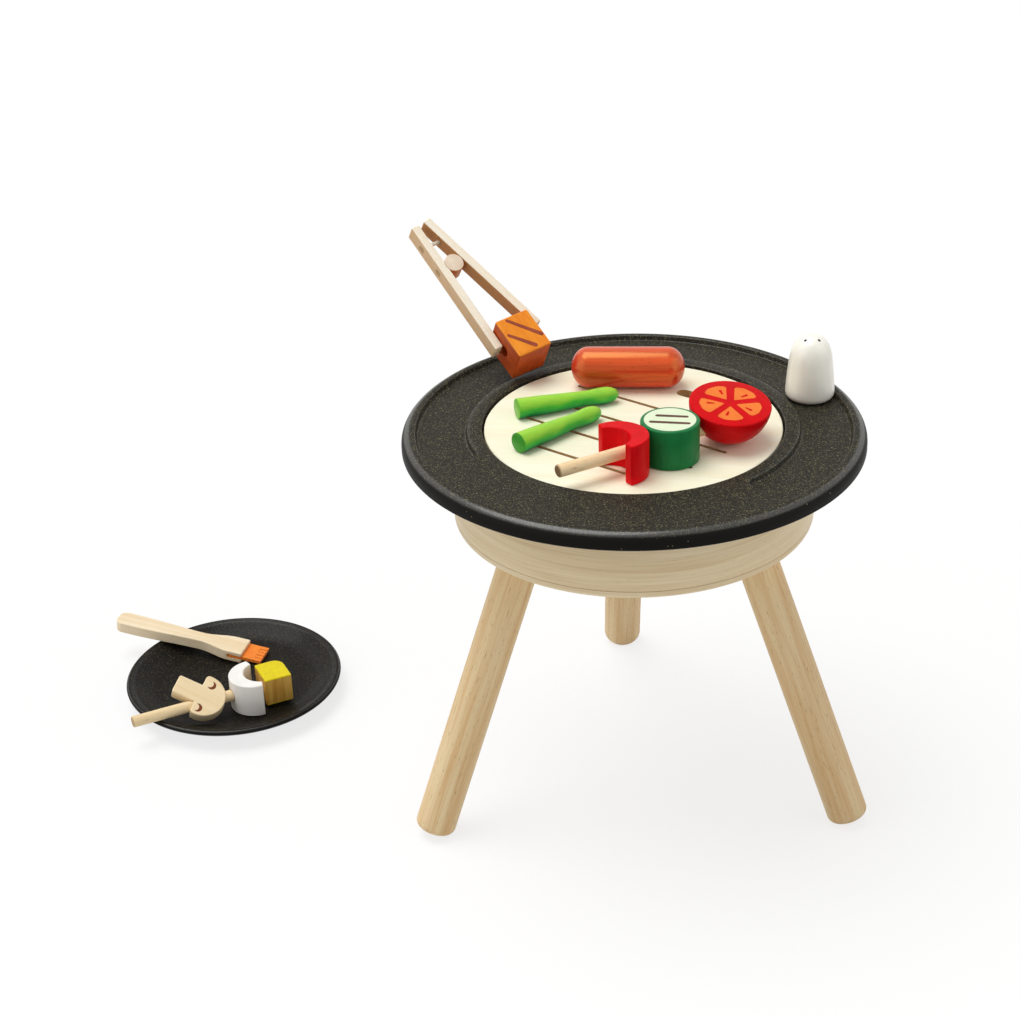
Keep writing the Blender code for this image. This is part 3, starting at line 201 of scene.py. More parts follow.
def form(name, bm, place, edge=0.0, cutters=()):
    """Make a piece from a bmesh in its place's frame: round its sharp edges, then cut the cutters out."""
    bmesh.ops.remove_doubles(bm, verts=bm.verts, dist=MERGE)
    bmesh.ops.transform(bm, matrix=place, verts=bm.verts)
    bmesh.ops.recalc_face_normals(bm, faces=bm.faces)
    mesh = bpy.data.meshes.new(name)
    bm.to_mesh(mesh)
    bm.free()
    piece = place_object(name, mesh)
    if edge:
        bevel = piece.modifiers.new("rounded_edges", "BEVEL")
        bevel.width, bevel.segments, bevel.limit_method, bevel.angle_limit = edge, 4, "ANGLE", SMOOTH_ANGLE
    for cutter in cutters:
        boolean = piece.modifiers.new("cut", "BOOLEAN")
        boolean.operation, boolean.solver, boolean.object = "DIFFERENCE", "EXACT", cutter
    if edge or cutters:
        settle(piece)
    for cutter in cutters:
        bpy.data.objects.remove(cutter)
    piece.data.shade_smooth()
    piece.data.set_sharp_from_angle(angle=SMOOTH_ANGLE)
    if edge:
        piece.modifiers.new("flat_faces_kept_flat", "WEIGHTED_NORMAL").keep_sharp = True
        settle(piece)
    return piece


def dress(piece, body, slot, finish, *nodes):
    """Give a finished piece its material, hide the nodes that it stands for and put it under its body. The
    slot is not used.
    """
    if finish:
        piece.data.materials.clear()
        piece.data.materials.append(finish)
        piece.data.polygons.foreach_set("material_index", [0] * len(piece.data.polygons))
    if nodes:
        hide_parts(*nodes)
    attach(piece, body)


def own_frame(tree, spot, place):
    """Return the coordinates in a piece's own frame."""
    return add_node(tree, "Mapping",
                    {"Vector": spot, "Location": place.translation, "Rotation": place.to_euler()},
                    vector_type="TEXTURE")


def start_material(name, place, levels):
    """Make a material with these levels on its shader, and return it with its tree, its shader and
    coordinates: those of the piece's own frame, or of the object where there is none."""
    made = bpy.data.materials.new(name)
    made.use_nodes = True
    tree = made.node_tree
    shader = tree.nodes["Principled BSDF"]
    feed(shader, levels)
    spot = add_node(tree, "TexCoord").outputs["Object"]
    return made, tree, shader, own_frame(tree, spot, place) if place else spot


def cover(shader, colour, height, relief, depth=0.0002):
    """Give a shader its colour and the relief of a skin of this depth."""
    bump = add_node(shader.id_data, "Bump", {"Height": height, "Strength": relief, "Distance": depth})
    feed(shader, {"Base Color": colour, "Normal": bump})


def specks(tree, spot, spacing, size, share):
    """Return a mask of scattered specks: their spacing and size in metres, and the share of full cells."""
    cells = add_node(tree, "TexVoronoi", {"Vector": spot, "Scale": 1 / spacing})
    near = add_node(tree, "Math", {0: cells, 1: size / spacing / 2}, operation="LESS_THAN")
    chance = add_node(tree, "SeparateColor", {0: cells.outputs["Color"]})
    kept = add_node(tree, "Math", {0: chance, 1: share}, operation="LESS_THAN")
    return add_node(tree, "Math", {0: near, 1: kept}, operation="MULTIPLY")


def off_axis(tree, spot, across):
    """Return the distance from an axis, with 1 for the directions across it and 0 for the one along it."""
    flat = add_node(tree, "VectorMath", {0: spot, 1: across}, operation="MULTIPLY")
    return add_node(tree, "VectorMath", {0: flat}, operation="LENGTH")


def speckled_moulding(name, place, lip_from, black, dust_and_sheen_grey, coarse_speck, coarse_share, wall_shine,
                      lip_shine):
    """Wood-filled plastic, moulded: matt flats mottled with wood dust, whose grey is partly painted sheen,
    and rounded lips beyond a radius, shiny under a coat that follows the slope, whose steep faces are painted
    black as painted shade. The dust is about 0.3 mm, under a pixel, so it is drawn 0.6 mm wide."""
    made, tree, shader, spot = start_material(name, None,
                                              {"Roughness": 0.5, "Coat IOR": 1.7, "Coat Roughness": 0.2})
    dust = add_node(tree, "TexVoronoi", {"Vector": spot, "Scale": 1650.0})
    grains = add_node(tree, "SeparateColor", {0: dust.outputs["Color"]})
    # The grey of the flats between the dust grains is partly painted sheen
    flat = add_node(tree, "ValToRGB", {0: grains},
                    ((0.0, black), (1.0, coarse_speck), (0.50, dust_and_sheen_grey), (0.86, dust_and_sheen_grey)))
    normal = add_node(tree, "NewGeometry").outputs["Normal"]
    facing = add_node(tree, "SeparateXYZ", {0: normal}).outputs["Z"]
    side = add_node(tree, "MapRange", {"Value": facing, "From Min": 0.96, "From Max": 0.55})
    outward = off_axis(tree, own_frame(tree, spot, place), (1, 1, 0))
    beyond = add_node(tree, "MapRange",
                      {"Value": outward, "From Min": lip_from, "From Max": lip_from + 0.002})
    # Beyond lip_from, faces that turn steeply away from up are painted black: painted shade
    painted_lip_shade = add_node(tree, "Math", {0: side, 1: beyond}, operation="MULTIPLY")
    dark = add_node(tree, "Mix", {0: painted_lip_shade, 6: flat, 7: black}, data_type="RGBA")
    fleck = specks(tree, spot, 0.0034, 0.0009, coarse_share)
    mixed = add_node(tree, "Mix", {0: fleck, 6: dark, 7: coarse_speck}, data_type="RGBA")
    skin = add_node(tree, "TexNoise", {"Vector": spot, "Scale": 1100.0, "Detail": 2.0})
    cover(shader, mixed, skin, 0.10, 0.0003)
    polish = add_node(tree, "ValToRGB", {0: facing}, (
        (0.0, "#000000"), (0.985, "#000000"), (0.62, "#000000"), (0.76, "#FFFFFF"), (0.93, "#FFFFFF")))
    lip = add_node(tree, "MapRange", {"Value": beyond, "To Min": wall_shine, "To Max": lip_shine})
    shine = add_node(tree, "Math", {0: polish, 1: lip}, operation="MULTIPLY")
    below = add_node(tree, "MapRange", {"Value": facing, "From Min": -0.15, "From Max": -0.6, "To Max": 0.5})
    shine = add_node(tree, "Math", {0: shine, 1: below})
    sheen = add_node(tree, "MapRange", {"Value": shine, "To Min": 0.08, "To Max": 0.45})
    feed(shader, {"Coat Weight": shine, "Specular IOR Level": sheen})
    return made


def tray_drop(angle, radius):
    """Return how far the rim's top sinks at a place: the tray is a bent band with round corners."""
    half_span = (TRAY_END - TRAY_START) / 2
    turn = remainder(angle - TRAY_START - half_span, tau)
    along = (abs(turn) - half_span) * TRAY_RADIUS + TRAY_CORNER
    sideways = abs(radius - TRAY_RADIUS) - TRAY_HALF_WIDTH + TRAY_CORNER
    outside = hypot(max(along, 0), max(sideways, 0)) + min(max(along, sideways), 0)
    inward = min(max((TRAY_CORNER - outside) / TRAY_WALL, 0), 1)
    return TRAY_DEPTH * inward * inward * (3 - 2 * inward)


# Stations across the tray lie a millimetre apart, and closer on its walls
tray_reach = [TRAY_WALL * step / 6 for step in range(7)]
tray_reach += [TRAY_WALL + (TRAY_HALF_WIDTH - TRAY_WALL) * step / 16 for step in range(1, 17)]
tray_line = [TRAY_RADIUS - TRAY_HALF_WIDTH + reach for reach in tray_reach]
tray_line += [TRAY_RADIUS + TRAY_HALF_WIDTH - reach for reach in reversed(tray_reach[:-1])]
rim_bottom = RIM_TOP - RIM_SIDE_HEIGHT
rim_profile = rounded([(radius, RIM_TOP, 0) for radius in tray_line] + [
    (RIM_RADIUS, RIM_TOP, RIM_TOP_FILLET), (RIM_RADIUS, rim_bottom, RIM_SMALL_FILLET),
    (SKIRT_RADIUS, rim_bottom, 0),
    (SKIRT_RADIUS, RIM_SEAT, 0), (COLLAR_RADIUS, RIM_SEAT, 0), (COLLAR_RADIUS, COLLAR_BOTTOM, 0),
    (COLLAR_INNER_RADIUS, COLLAR_BOTTOM, 0), (COLLAR_INNER_RADIUS, LEDGE_BOTTOM, 0),
    (LEDGE_RADIUS, LEDGE_BOTTOM, 0),
    (LEDGE_RADIUS, LEDGE_TOP, 0), (RIM_INNER_RADIUS, LEDGE_TOP, 0),
    (RIM_INNER_RADIUS, RIM_TOP, RIM_SMALL_FILLET)])
bounds = [TRAY_START, TRAY_START + TRAY_END_REACH, TRAY_END - TRAY_END_REACH, TRAY_END, TRAY_START + tau]
bm = bmesh.new()
rings = []
for start, end, steps in zip(bounds, bounds[1:], (24, 170, 24, 70)):
    for step in range(steps):
        angle = start + (end - start) * step / steps
        ring = []
        for radius, height in rim_profile:
            drop = tray_drop(angle, radius) if height > RIM_TOP - MERGE else 0
            ring.append(bm.verts.new((radius * cos(angle), radius * sin(angle), height - drop)))
        rings.append(ring)
for here, there in zip(rings, rings[1:] + rings[:1]):
    for index in range(len(rim_profile)):
        bm.faces.new((here[index - 1], here[index], there[index], there[index - 1]))
rim = form("rim_moulding", bm, grill)
rim_black = speckled_moulding("moulded_wood_filled_plastic", grill, TRAY_RADIUS + TRAY_HALF_WIDTH,
                              "#0E0D09", "#312F27", "#7A7254", 0.12, 0.25, 0.44)
dress(rim, "grill", "black_moulding", rim_black, "rim")

# ---- Bowl ring and base board
# A plain turned ring of pale wood whose grain runs round it, over a rebated floor board of the same wood that
# carries the legs. Both are sanded and clear lacquered, and the board has a pocket for each leg's nut.
BOWL_INNER_RADIUS, BOWL_RADIUS, RING_BOTTOM, RING_TOP = 0.122, 0.1335, 0.2323, 0.2872
BOARD_BOTTOM, FLANGE_TOP, BOARD_TOP, SPIGOT_RADIUS, BOARD_FILLET = 0.226, 0.232, 0.241, 0.1217, 0.004
LEG_RING_RADIUS, LEG_SPLAY, LEG_FIRST = 0.0934, 21.7, 93.2
NUT_SEAT, NUT_FLANGE_RADIUS, NUT_BARREL_RADIUS = 0.009644, 0.010, 0.0055
POCKET_GAP, POCKET_BOTTOM, POCKET_TOP = 0.0003, -0.02, 0.03


def turned(profile, sides):
    """Turn a profile of (radius, height) points about Z. A profile off the axis is a closed ring."""
    bm = bmesh.new()
    verts = [bm.verts.new((radius, 0, height)) for radius, height in profile]
    edges = [bm.edges.new(pair) for pair in zip(verts, verts[1:])]
    if profile[0][0] > 0:
        edges.append(bm.edges.new((verts[-1], verts[0])))
    bmesh.ops.spin(bm, geom=verts + edges, cent=(0, 0, 0), axis=(0, 0, 1), angle=tau, steps=sides)
    return bm


def seat(parent, location, turn=(0, 0, 0)):
    """Return the frame at this location in its parent's frame, turned by these degrees."""
    return parent @ Matrix.LocRotScale(Vector(location), Euler([radians(angle) for angle in turn]), None)


def streaks(tree, spot, sizes, detail, distortion=0.0):
    """Return soft random streaks of these real sizes in metres."""
    stretched = add_node(tree, "Mapping", {"Vector": spot, "Scale": [1 / size for size in sizes]})
    return add_node(tree, "TexNoise",
                    {"Vector": stretched, "Scale": 1.0, "Detail": detail, "Distortion": distortion})


def two_scales(tree, spot, broad, fine, share, *ramps):
    """Mix some fine streaks into broad ones. Return the fine ones, the mix and its colour by each ramp."""
    fibres = streaks(tree, spot, *fine)
    both = add_node(tree, "Mix", {0: share, 2: streaks(tree, spot, *broad), 3: fibres})
    return fibres, both, *[add_node(tree, "ValToRGB", {0: both}, stops) for stops in ramps]


def grow_grain(shader, spot, pale, tawny, pore, pores=0.5, relief=0.25, sides=()):
    """Colour a shader as lacquered wood with fibres along X: wide bands, fine fibres and short dark pores.
    Real fibres and pores are 0.1 to 0.3 mm wide, so they are drawn about 0.8 mm wide to show. Each side is a
    direction and a colour that deepens the faces that look that way: painted shade on the sides of the tongs,
    the roller and the brush handle, and darker end grain at a dowel's end."""
    tree = shader.id_data
    fibres, _, tone = two_scales(tree, spot, ((0.16, 0.007, 0.007), 2.0, 0.3), ((0.05, 0.0009, 0.0009), 3.0),
                                 0.42,
                                 ((0.30, tawny), (0.62, pale)))
    dashes = streaks(tree, spot, (0.007, 0.0008, 0.0008), 1.0)
    dark = add_node(tree, "MapRange", {"Value": dashes, "From Min": 0.66, "From Max": 0.74, "To Max": pores})
    mixed = add_node(tree, "Mix", {0: dark, 6: tone, 7: pore}, data_type="RGBA")
    facing = add_node(tree, "NewGeometry").outputs["True Normal"]
    # Faces that look one way are darkened by a side's colour: painted shade on sides, darker end grain on
    # dowel ends
    for direction, colour in sides:
        toward = add_node(tree, "VectorMath", {0: facing, 1: direction}, operation="DOT_PRODUCT")
        share = add_node(tree, "MapRange", {"Value": toward, "From Min": 0.55, "From Max": 0.85})
        mixed = add_node(tree, "Mix", {0: share, 6: mixed, 7: colour}, data_type="RGBA",
                         blend_type="MULTIPLY")
    cover(shader, mixed, fibres, relief)


# Bent wood: the grain follows the ring, so its coordinates run round the axis from the back
ring_wood, tree, shader, spot = start_material("lacquered_pale_rubberwood_ring", grill, {
    "Roughness": 0.45, "Specular IOR Level": 0.2})
place = add_node(tree, "SeparateXYZ", {0: spot}).outputs
away = add_node(tree, "Math", {0: place["Y"], 1: -1.0}, operation="MULTIPLY")
turn = add_node(tree, "Math", {0: place["X"], 1: away}, operation="ARCTAN2")
around = add_node(tree, "Math", {0: turn, 1: BOWL_RADIUS}, operation="MULTIPLY")
rolled = add_node(tree, "CombineXYZ", {0: around, 1: off_axis(tree, spot, (1, 1, 0)), 2: place["Z"]})
grow_grain(shader, rolled, "#F3E1BE", "#DEC398", "#B9A076", 0.3)

corners = [(BOWL_INNER_RADIUS, RING_BOTTOM, 0.0003), (BOWL_RADIUS, RING_BOTTOM, 0.0002),
           (BOWL_RADIUS, RING_TOP, 0.0006), (BOWL_INNER_RADIUS, RING_TOP, 0.0005)]
bowl = form("bowl_wall", turned(rounded(corners, 3), 180), grill)
dress(bowl, "grill", "natural_wood", ring_wood, "bowl_ring")

corners = [(0, BOARD_BOTTOM, 0), (BOWL_RADIUS, BOARD_BOTTOM, BOARD_FILLET), (BOWL_RADIUS, FLANGE_TOP, 0.0002),
           (SPIGOT_RADIUS, FLANGE_TOP, 0), (SPIGOT_RADIUS, BOARD_TOP, 0.0005), (0, BOARD_TOP, 0)]
barrel, flange = NUT_BARREL_RADIUS + POCKET_GAP, NUT_FLANGE_RADIUS + POCKET_GAP
profile = [(0, POCKET_BOTTOM), (barrel, POCKET_BOTTOM), (barrel, NUT_SEAT), (flange, NUT_SEAT),
           (flange, POCKET_TOP),
           (0, POCKET_TOP)]
pockets = []
for index in range(3):
    nut_seat = seat(seat(grill, (0, 0, BOARD_BOTTOM), (0, 0, LEG_FIRST + index * 120)),
                    (LEG_RING_RADIUS, 0, 0),
                    (0, -LEG_SPLAY, 0))
    pockets.append(form("pocket", turned(profile, 48), nut_seat))
board = form("bowl_floor_board", turned(rounded(corners), 180), grill, cutters=pockets)
dress(board, "grill", "natural_wood", ring_wood, "base_board")

# ---- Legs, nuts and screws
# Three splayed legs of turned rubberwood with a round end, each screwed to a plated nut in the board by a
# bolt in its top. Three cross-head screws hold the rim's collar to the bowl ring. All repeat round the axis.
LEG_RADIUS, LEG_END_FILLET, LEG_TOP, LEG_GAP = 0.0153, 0.006, 0.226, 0.0003
BOLT_RADIUS, BOLT_SOCKET, THREAD_PITCH, THREAD_DEPTH = 0.004, 0.0447, 0.0015, 0.00045
NUT_BORE_RADIUS, NUT_BOTTOM, NUT_FLANGE_BOTTOM, NUT_FLANGE_TOP = 0.0043, 0.002944, 0.009944, 0.011444
SCREW_FIRST, SCREW_SEAT_RADIUS, SCREW_HEIGHT = 33, 0.11474, 0.27705
SCREW_RADIUS, SCREW_LENGTH, SCREW_HEAD_RADIUS, SCREW_HEAD, SCREW_DOME = 0.002, 0.014, 0.004, 0.0025, 1.4
CROSS_REACH, CROSS_HALF_WIDTH, CROSS_BOTTOM, CROSS_TOP = 0.0022, 0.0005, 0.0009, 0.004


def start_tree(name, sizes):
    """Start a Geometry Nodes tree with a geometry in, these named inputs and a geometry out. Return it with
    its inputs, and with the geometry as instances, as many as the first named input says."""
    tree = bpy.data.node_groups.new(name, "GeometryNodeTree")
    tree.is_modifier = True
    for label, kind in (("Geometry", "Geometry"), *sizes):
        tree.interface.new_socket(label, in_out="INPUT", socket_type="NodeSocket" + kind)
    tree.interface.new_socket("Geometry", in_out="OUTPUT", socket_type="NodeSocketGeometry")
    given = add_node(tree, "NodeGroupInput").outputs
    whole = add_node(tree, "GeometryNodeGeometryToInstance", {0: given["Geometry"]})
    copied = add_node(tree, "GeometryNodeDuplicateElements", {"Geometry": whole, "Amount": given[1]},
                      domain="INSTANCE")
    return tree, given, copied


def realize(tree, instances, label, value):
    """Realize instances, and return their geometry and the number that each brings along under this label."""
    numbered = add_node(tree, "GeometryNodeStoreNamedAttribute", {
        "Geometry": instances, "Name": label, "Value": value}, domain="INSTANCE", data_type="FLOAT")
    number = add_node(tree, "GeometryNodeInputNamedAttribute", {"Name": label}, data_type="FLOAT")
    return add_node(tree, "GeometryNodeRealizeInstances", {0: numbered}), number


def end_tree(tree, geometry, finish):
    """End a tree by giving its geometry the material that was passed in."""
    finished = add_node(tree, "GeometryNodeSetMaterial", {"Geometry": geometry, "Material": finish})
    add_node(tree, "NodeGroupOutput", {0: finished})


def run_tree(piece, tree, sizes):
    """Run a tree on a piece with its inputs set, and keep the result as a plain mesh."""
    modifier = piece.modifiers.new(tree.name, "NODES")
    modifier.node_group = tree
    for socket in tree.interface.items_tree:
        if socket.in_out == "INPUT" and socket.name in sizes:
            modifier[socket.identifier] = sizes[socket.name]
    settle(piece)


# Copies of a mesh at even angles round an upright axis, each with its stretch of grain shifted
copies, given, copied = start_tree("copies_round_the_axis", (
    ("Count", "Int"), ("First angle", "Float"), ("Axis", "Vector"), ("Grain shift", "Vector"),
    ("Finish", "Material")))
copy_number = copied.outputs["Duplicate Index"]
step = add_node(copies, "Math", {0: tau, 1: given["Count"]}, operation="DIVIDE")
angle = add_node(copies, "Math", {0: copy_number, 1: step, 2: given["First angle"]}, operation="MULTIPLY_ADD")
spun = add_node(copies, "GeometryNodeRotateInstances", {
    "Instances": copied, "Rotation": add_node(copies, "CombineXYZ", {2: angle}),
    "Pivot Point": given["Axis"], "Local Space": False})
joined, number = realize(copies, spun, "copy_number", copy_number)
grain = add_node(copies, "GeometryNodeInputNamedAttribute", {"Name": "grain_place"}, data_type="FLOAT_VECTOR")
shift = add_node(copies, "VectorMath", {0: given["Grain shift"], "Scale": number}, operation="SCALE")
shifted = add_node(copies, "VectorMath", {0: grain, 1: shift}, operation="ADD")
stored = add_node(copies, "GeometryNodeStoreNamedAttribute", {
    "Geometry": joined, "Name": "grain_place", "Value": shifted}, domain="POINT", data_type="FLOAT_VECTOR")
end_tree(copies, stored, given["Finish"])


def add_three(piece, first, finish, slot, nodes, shift=(0.0, 0.0, 0.0)):
    """Repeat a piece three times round the grill from this angle in degrees, and finish the three as one."""
    run_tree(piece, copies, {"Count": 3, "First angle": radians(first), "Axis": grill.translation,
                             "Grain shift": shift, "Finish": finish})
    dress(piece, "grill", slot, None, *nodes)


# Turned rubberwood, sanded and clear lacquered, with its grain down each leg, read from the leg's own place
leg_wood, tree, shader, spot = start_material("lacquered_rubberwood_legs", None, {
    "Roughness": 0.46, "Specular IOR Level": 0.2})
grain = add_node(tree, "Attribute", attribute_name="grain_place")
grow_grain(shader, grain.outputs["Vector"], "#F0D8AC", "#DDB27C", "#9A7144", 0.5)

splay = radians(LEG_SPLAY)
end_height = (LEG_RADIUS - LEG_END_FILLET) * sin(splay) + LEG_END_FILLET * (1 - cos(splay))
length = (LEG_TOP - end_height) / cos(splay)
corners = [(0, -length, 0), (LEG_RADIUS, -length, LEG_END_FILLET), (LEG_RADIUS, 0, 0), (0, 0, 0)]
bm = turned(rounded(corners), 64)
for vert in bm.verts:
    if abs(vert.co.z) < MERGE:
        vert.co.z = -LEG_GAP / cos(splay) - vert.co.x * tan(splay)
legs = form("turned_legs", bm, Matrix())
grain = legs.data.attributes.new("grain_place", "FLOAT_VECTOR", "POINT")
for index, vert in enumerate(legs.data.vertices):
    grain.data[index].vector = (vert.co.z, vert.co.x, vert.co.y)
leg_place = seat(grill, (LEG_RING_RADIUS, 0, LEG_TOP), (0, -LEG_SPLAY, 0))
legs.data.transform(leg_place)
add_three(legs, LEG_FIRST, leg_wood, "natural_wood", ("leg_left", "leg_right", "leg_rear"),
          (0.37, 0.061, 0.043))

# Zinc-plated steel: bright grey with a faint cloud from the bath
zinc, tree, shader, spot = start_material("zinc_plated_steel", None, {"Roughness": 0.32, "Metallic": 1.0})
cloud = add_node(tree, "TexNoise", {"Vector": spot, "Scale": 400.0, "Detail": 2.0})
tone = add_node(tree, "ValToRGB", {0: cloud}, ((0.3, "#B4B6B4"), (0.7, "#D2D3CF")))
feed(shader, {"Base Color": tone})

profile = [(0, -BOLT_SOCKET)]
for index in range(int((BOLT_SOCKET + NUT_FLANGE_TOP) / THREAD_PITCH)):
    height = -BOLT_SOCKET + index * THREAD_PITCH
    profile += [(BOLT_RADIUS - THREAD_DEPTH, height), (BOLT_RADIUS, height + THREAD_PITCH / 2)]
bolt_top = NUT_FLANGE_TOP + 0.001
profile += [(BOLT_RADIUS - THREAD_DEPTH, bolt_top - 0.0004), (BOLT_RADIUS - 2 * THREAD_DEPTH, bolt_top),
            (0, bolt_top)]
bolts = form("leg_bolts", turned(profile, 24), leg_place)
add_three(bolts, LEG_FIRST, zinc, "zinc_steel", ("leg_bolt_left", "leg_bolt_right", "leg_bolt_rear"))

corners = [(NUT_BORE_RADIUS, NUT_FLANGE_TOP, 0.0003), (NUT_FLANGE_RADIUS, NUT_FLANGE_TOP, 0.0004),
           (NUT_FLANGE_RADIUS, NUT_FLANGE_BOTTOM, 0.0004), (NUT_BARREL_RADIUS, NUT_FLANGE_BOTTOM, 0),
           (NUT_BARREL_RADIUS, NUT_BOTTOM, 0.0003), (NUT_BORE_RADIUS, NUT_BOTTOM, 0)]
nuts = form("flanged_nuts", turned(rounded(corners, 3), 48), leg_place)
add_three(nuts, LEG_FIRST, zinc, "zinc_steel", ("tee_nut_left", "tee_nut_right", "tee_nut_rear"))


def extruded(outline, bottom, top):
    """Extrude a flat outline from the bottom height to the top height."""
    bm = bmesh.new()
    face = bm.faces.new([bm.verts.new((x, y, bottom)) for x, y in outline])
    raised = bmesh.ops.extrude_face_region(bm, geom=[face])["geom"]
    lifted = [item for item in raised if isinstance(item, bmesh.types.BMVert)]
    bmesh.ops.translate(bm, verts=lifted, vec=(0, 0, top - bottom))
    return bm


screw_place = seat(grill, (SCREW_SEAT_RADIUS, 0, SCREW_HEIGHT), (0, -90, 0))
reach, half = CROSS_REACH, CROSS_HALF_WIDTH
cross = [(reach, -half), (reach, half), (half, half), (half, reach), (-half, reach), (-half, half)]
cross += [(-x, -y) for x, y in cross]
recess = form("cross_recess", extruded(cross, CROSS_BOTTOM, CROSS_TOP), screw_place)
dome = SCREW_HEAD_RADIUS * SCREW_DOME
profile = [(0, -SCREW_LENGTH), (SCREW_RADIUS, SCREW_RADIUS - SCREW_LENGTH), (SCREW_RADIUS, 0),
           (SCREW_HEAD_RADIUS, 0)]
profile += arc(0, SCREW_HEAD - dome, dome, 44.5, 90, 8)
profile[-1] = (0, SCREW_HEAD)
screws = form("rim_screws", turned(profile, 32), screw_place, cutters=[recess])
add_three(screws, SCREW_FIRST, zinc, "zinc_steel", ("rim_screw_1", "rim_screw_2", "rim_screw_3"))

# ---- Grate
# A loose disc of pale plywood, sawn with four thin slots and one finger slot, whose walls the saw browned.
# Its face is sanded and clear lacquered. The slots end on a circle, so their places give their lengths.
GRATE_RADIUS, GRATE_THICKNESS, GRATE_FILLET, GRATE_TOP = 0.1091, 0.009, 0.001, 0.2952
SLOT_WIDTH, SLOT_PITCH, SLOT_REACH, SLOT_ANGLE = 0.0032, 0.0333, 0.0807, -34.7
FINGER_SLOT_LENGTH, FINGER_SLOT_WIDTH, FINGER_SLOT_SPOT = 0.040, 0.011, (0.015, 0.067, 0)
CUT_BOTTOM, CUT_TOP = -0.012, 0.003
grate_top = seat(grill, (0, 0, GRATE_TOP))
slot_place = seat(grate_top, (0, 0, 0), (0, 0, SLOT_ANGLE))


def stadium(length, width):
    """Return the outline of a slot with round ends, along X."""
    radius = width / 2
    reach = length / 2 - radius
    return arc(reach, 0, radius, -90, 90, 16) + arc(-reach, 0, radius, 90, 270, 16)


# Rows of slots: each one's ends are pushed out to the circle of this reach
rows, given, copied = start_tree("rows_of_slots", (
    ("Rows", "Int"), ("Pitch", "Float"), ("Reach", "Float"), ("Half width", "Float"), ("Finish", "Material")))
row = add_node(rows, "Math", {0: 1.0, 1: copied.outputs["Duplicate Index"]}, operation="SUBTRACT")
offset = add_node(rows, "Math", {0: row, 1: given["Pitch"]}, operation="MULTIPLY")
joined, aside = realize(rows, copied, "across", offset)
squared = add_node(rows, "Math", {0: given["Reach"], 1: 2.0}, operation="POWER")
lost = add_node(rows, "Math", {0: aside, 1: aside}, operation="MULTIPLY")
left_over = add_node(rows, "Math", {0: squared, 1: lost}, operation="SUBTRACT")
chord = add_node(rows, "Math", {0: left_over}, operation="SQRT")
stretch = add_node(rows, "Math", {0: chord, 1: given["Half width"]}, operation="SUBTRACT")
spot = add_node(rows, "SeparateXYZ", {0: add_node(rows, "GeometryNodeInputPosition")})
side = add_node(rows, "Math", {0: spot}, operation="SIGN")
push = add_node(rows, "Math", {0: side, 1: stretch}, operation="MULTIPLY")
move = add_node(rows, "CombineXYZ", {0: push, 1: aside})
end_tree(rows, add_node(rows, "GeometryNodeSetPosition", {"Geometry": joined, "Offset": move}),
         given["Finish"])

# Birch plywood, sanded and lacquered: cream, with faint long bands. Walls that stand upright are saw-browned
ply, tree, shader, spot = start_material("lacquered_birch_plywood", seat(grate_top, (0, 0, 0), (0, 0, -8)), {
    "Roughness": 0.42, "Specular IOR Level": 0.2})
fibres, _, face = two_scales(tree, spot, ((0.30, 0.014, 0.014), 3.0, 0.8), ((0.045, 0.0010, 0.0010), 2.0),
                             0.35,
                             ((0.30, "#FBF1CE"), (0.60, "#FFFEE6")))
normal = add_node(tree, "NewGeometry").outputs["True Normal"]
facing = add_node(tree, "SeparateXYZ", {0: normal}).outputs["Z"]
upright = add_node(tree, "Math", {0: facing}, operation="ABSOLUTE")
wall = add_node(tree, "Math", {0: upright, 1: 0.35}, operation="LESS_THAN")
burnt = add_node(tree, "ValToRGB", {0: fibres}, ((0.3, "#C89C64"), (0.7, "#E8C490")))
mixed = add_node(tree, "Mix", {0: wall, 6: face, 7: burnt}, data_type="RGBA")
cover(shader, mixed, fibres, 0.12)

slots = form("slots", extruded(stadium(SLOT_WIDTH + MERGE * 4, SLOT_WIDTH), CUT_BOTTOM, CUT_TOP), Matrix())
run_tree(slots, rows, {"Rows": 4, "Pitch": SLOT_PITCH, "Reach": SLOT_REACH, "Half width": SLOT_WIDTH / 2,
                       "Finish": ply})
slots.data.transform(slot_place)
finger_slot = form("finger_slot",
                   extruded(stadium(FINGER_SLOT_LENGTH, FINGER_SLOT_WIDTH), CUT_BOTTOM, CUT_TOP),
                   seat(slot_place, FINGER_SLOT_SPOT))
corners = [(0, -GRATE_THICKNESS, 0), (GRATE_RADIUS, -GRATE_THICKNESS, 0.0004),
           (GRATE_RADIUS, 0, GRATE_FILLET),
           (0, 0, 0)]
grate = form("slotted_grate", turned(rounded(corners, 5), 180), grate_top, cutters=[slots, finger_slot])
dress(grate, "grate", "pale_ply", ply, "grate")

# ---- Sausage
# A turned bar of hardwood with rounded ends, stained orange-red so that the grain still shows, under a gloss
# lacquer. It lies loose on the grate.
SAUSAGE_LENGTH, SAUSAGE_RADIUS, SAUSAGE_END = 0.0858, 0.0155, 0.013
sausage_place = seat(grate_top, (-0.0035, 0.0678, 0.0158), (0, 0, -1.2))


def along_x(bm):
    """Lay a piece that was turned about Z along X."""
    bmesh.ops.rotate(bm, verts=bm.verts, matrix=Matrix.Rotation(pi / 2, 3, "Y"))
    return bm


ends = [(SAUSAGE_RADIUS * sin(angle), SAUSAGE_LENGTH / 2 - SAUSAGE_END * (1 - cos(angle)))
        for angle in [pi / 2 * step / 12 for step in range(13)]]
profile = ends + [(radius, -place) for radius, place in reversed(ends)]
sausage = form("turned_sausage", along_x(turned(profile, 72)), sausage_place)

# Water stain under gloss lacquer: darker and redder where the wood drank more
stain, tree, shader, spot = start_material("red_stained_wood", sausage_place, {
    "Roughness": 0.24, "Specular IOR Level": 1.0, "Specular Tint": "#FFDC7C"})
grow_grain(shader, spot, "#E44A28", "#B4261C", "#781A10", 0.5, 0.1)
dress(sausage, "sausage", "red_paint", stain, "sausage")

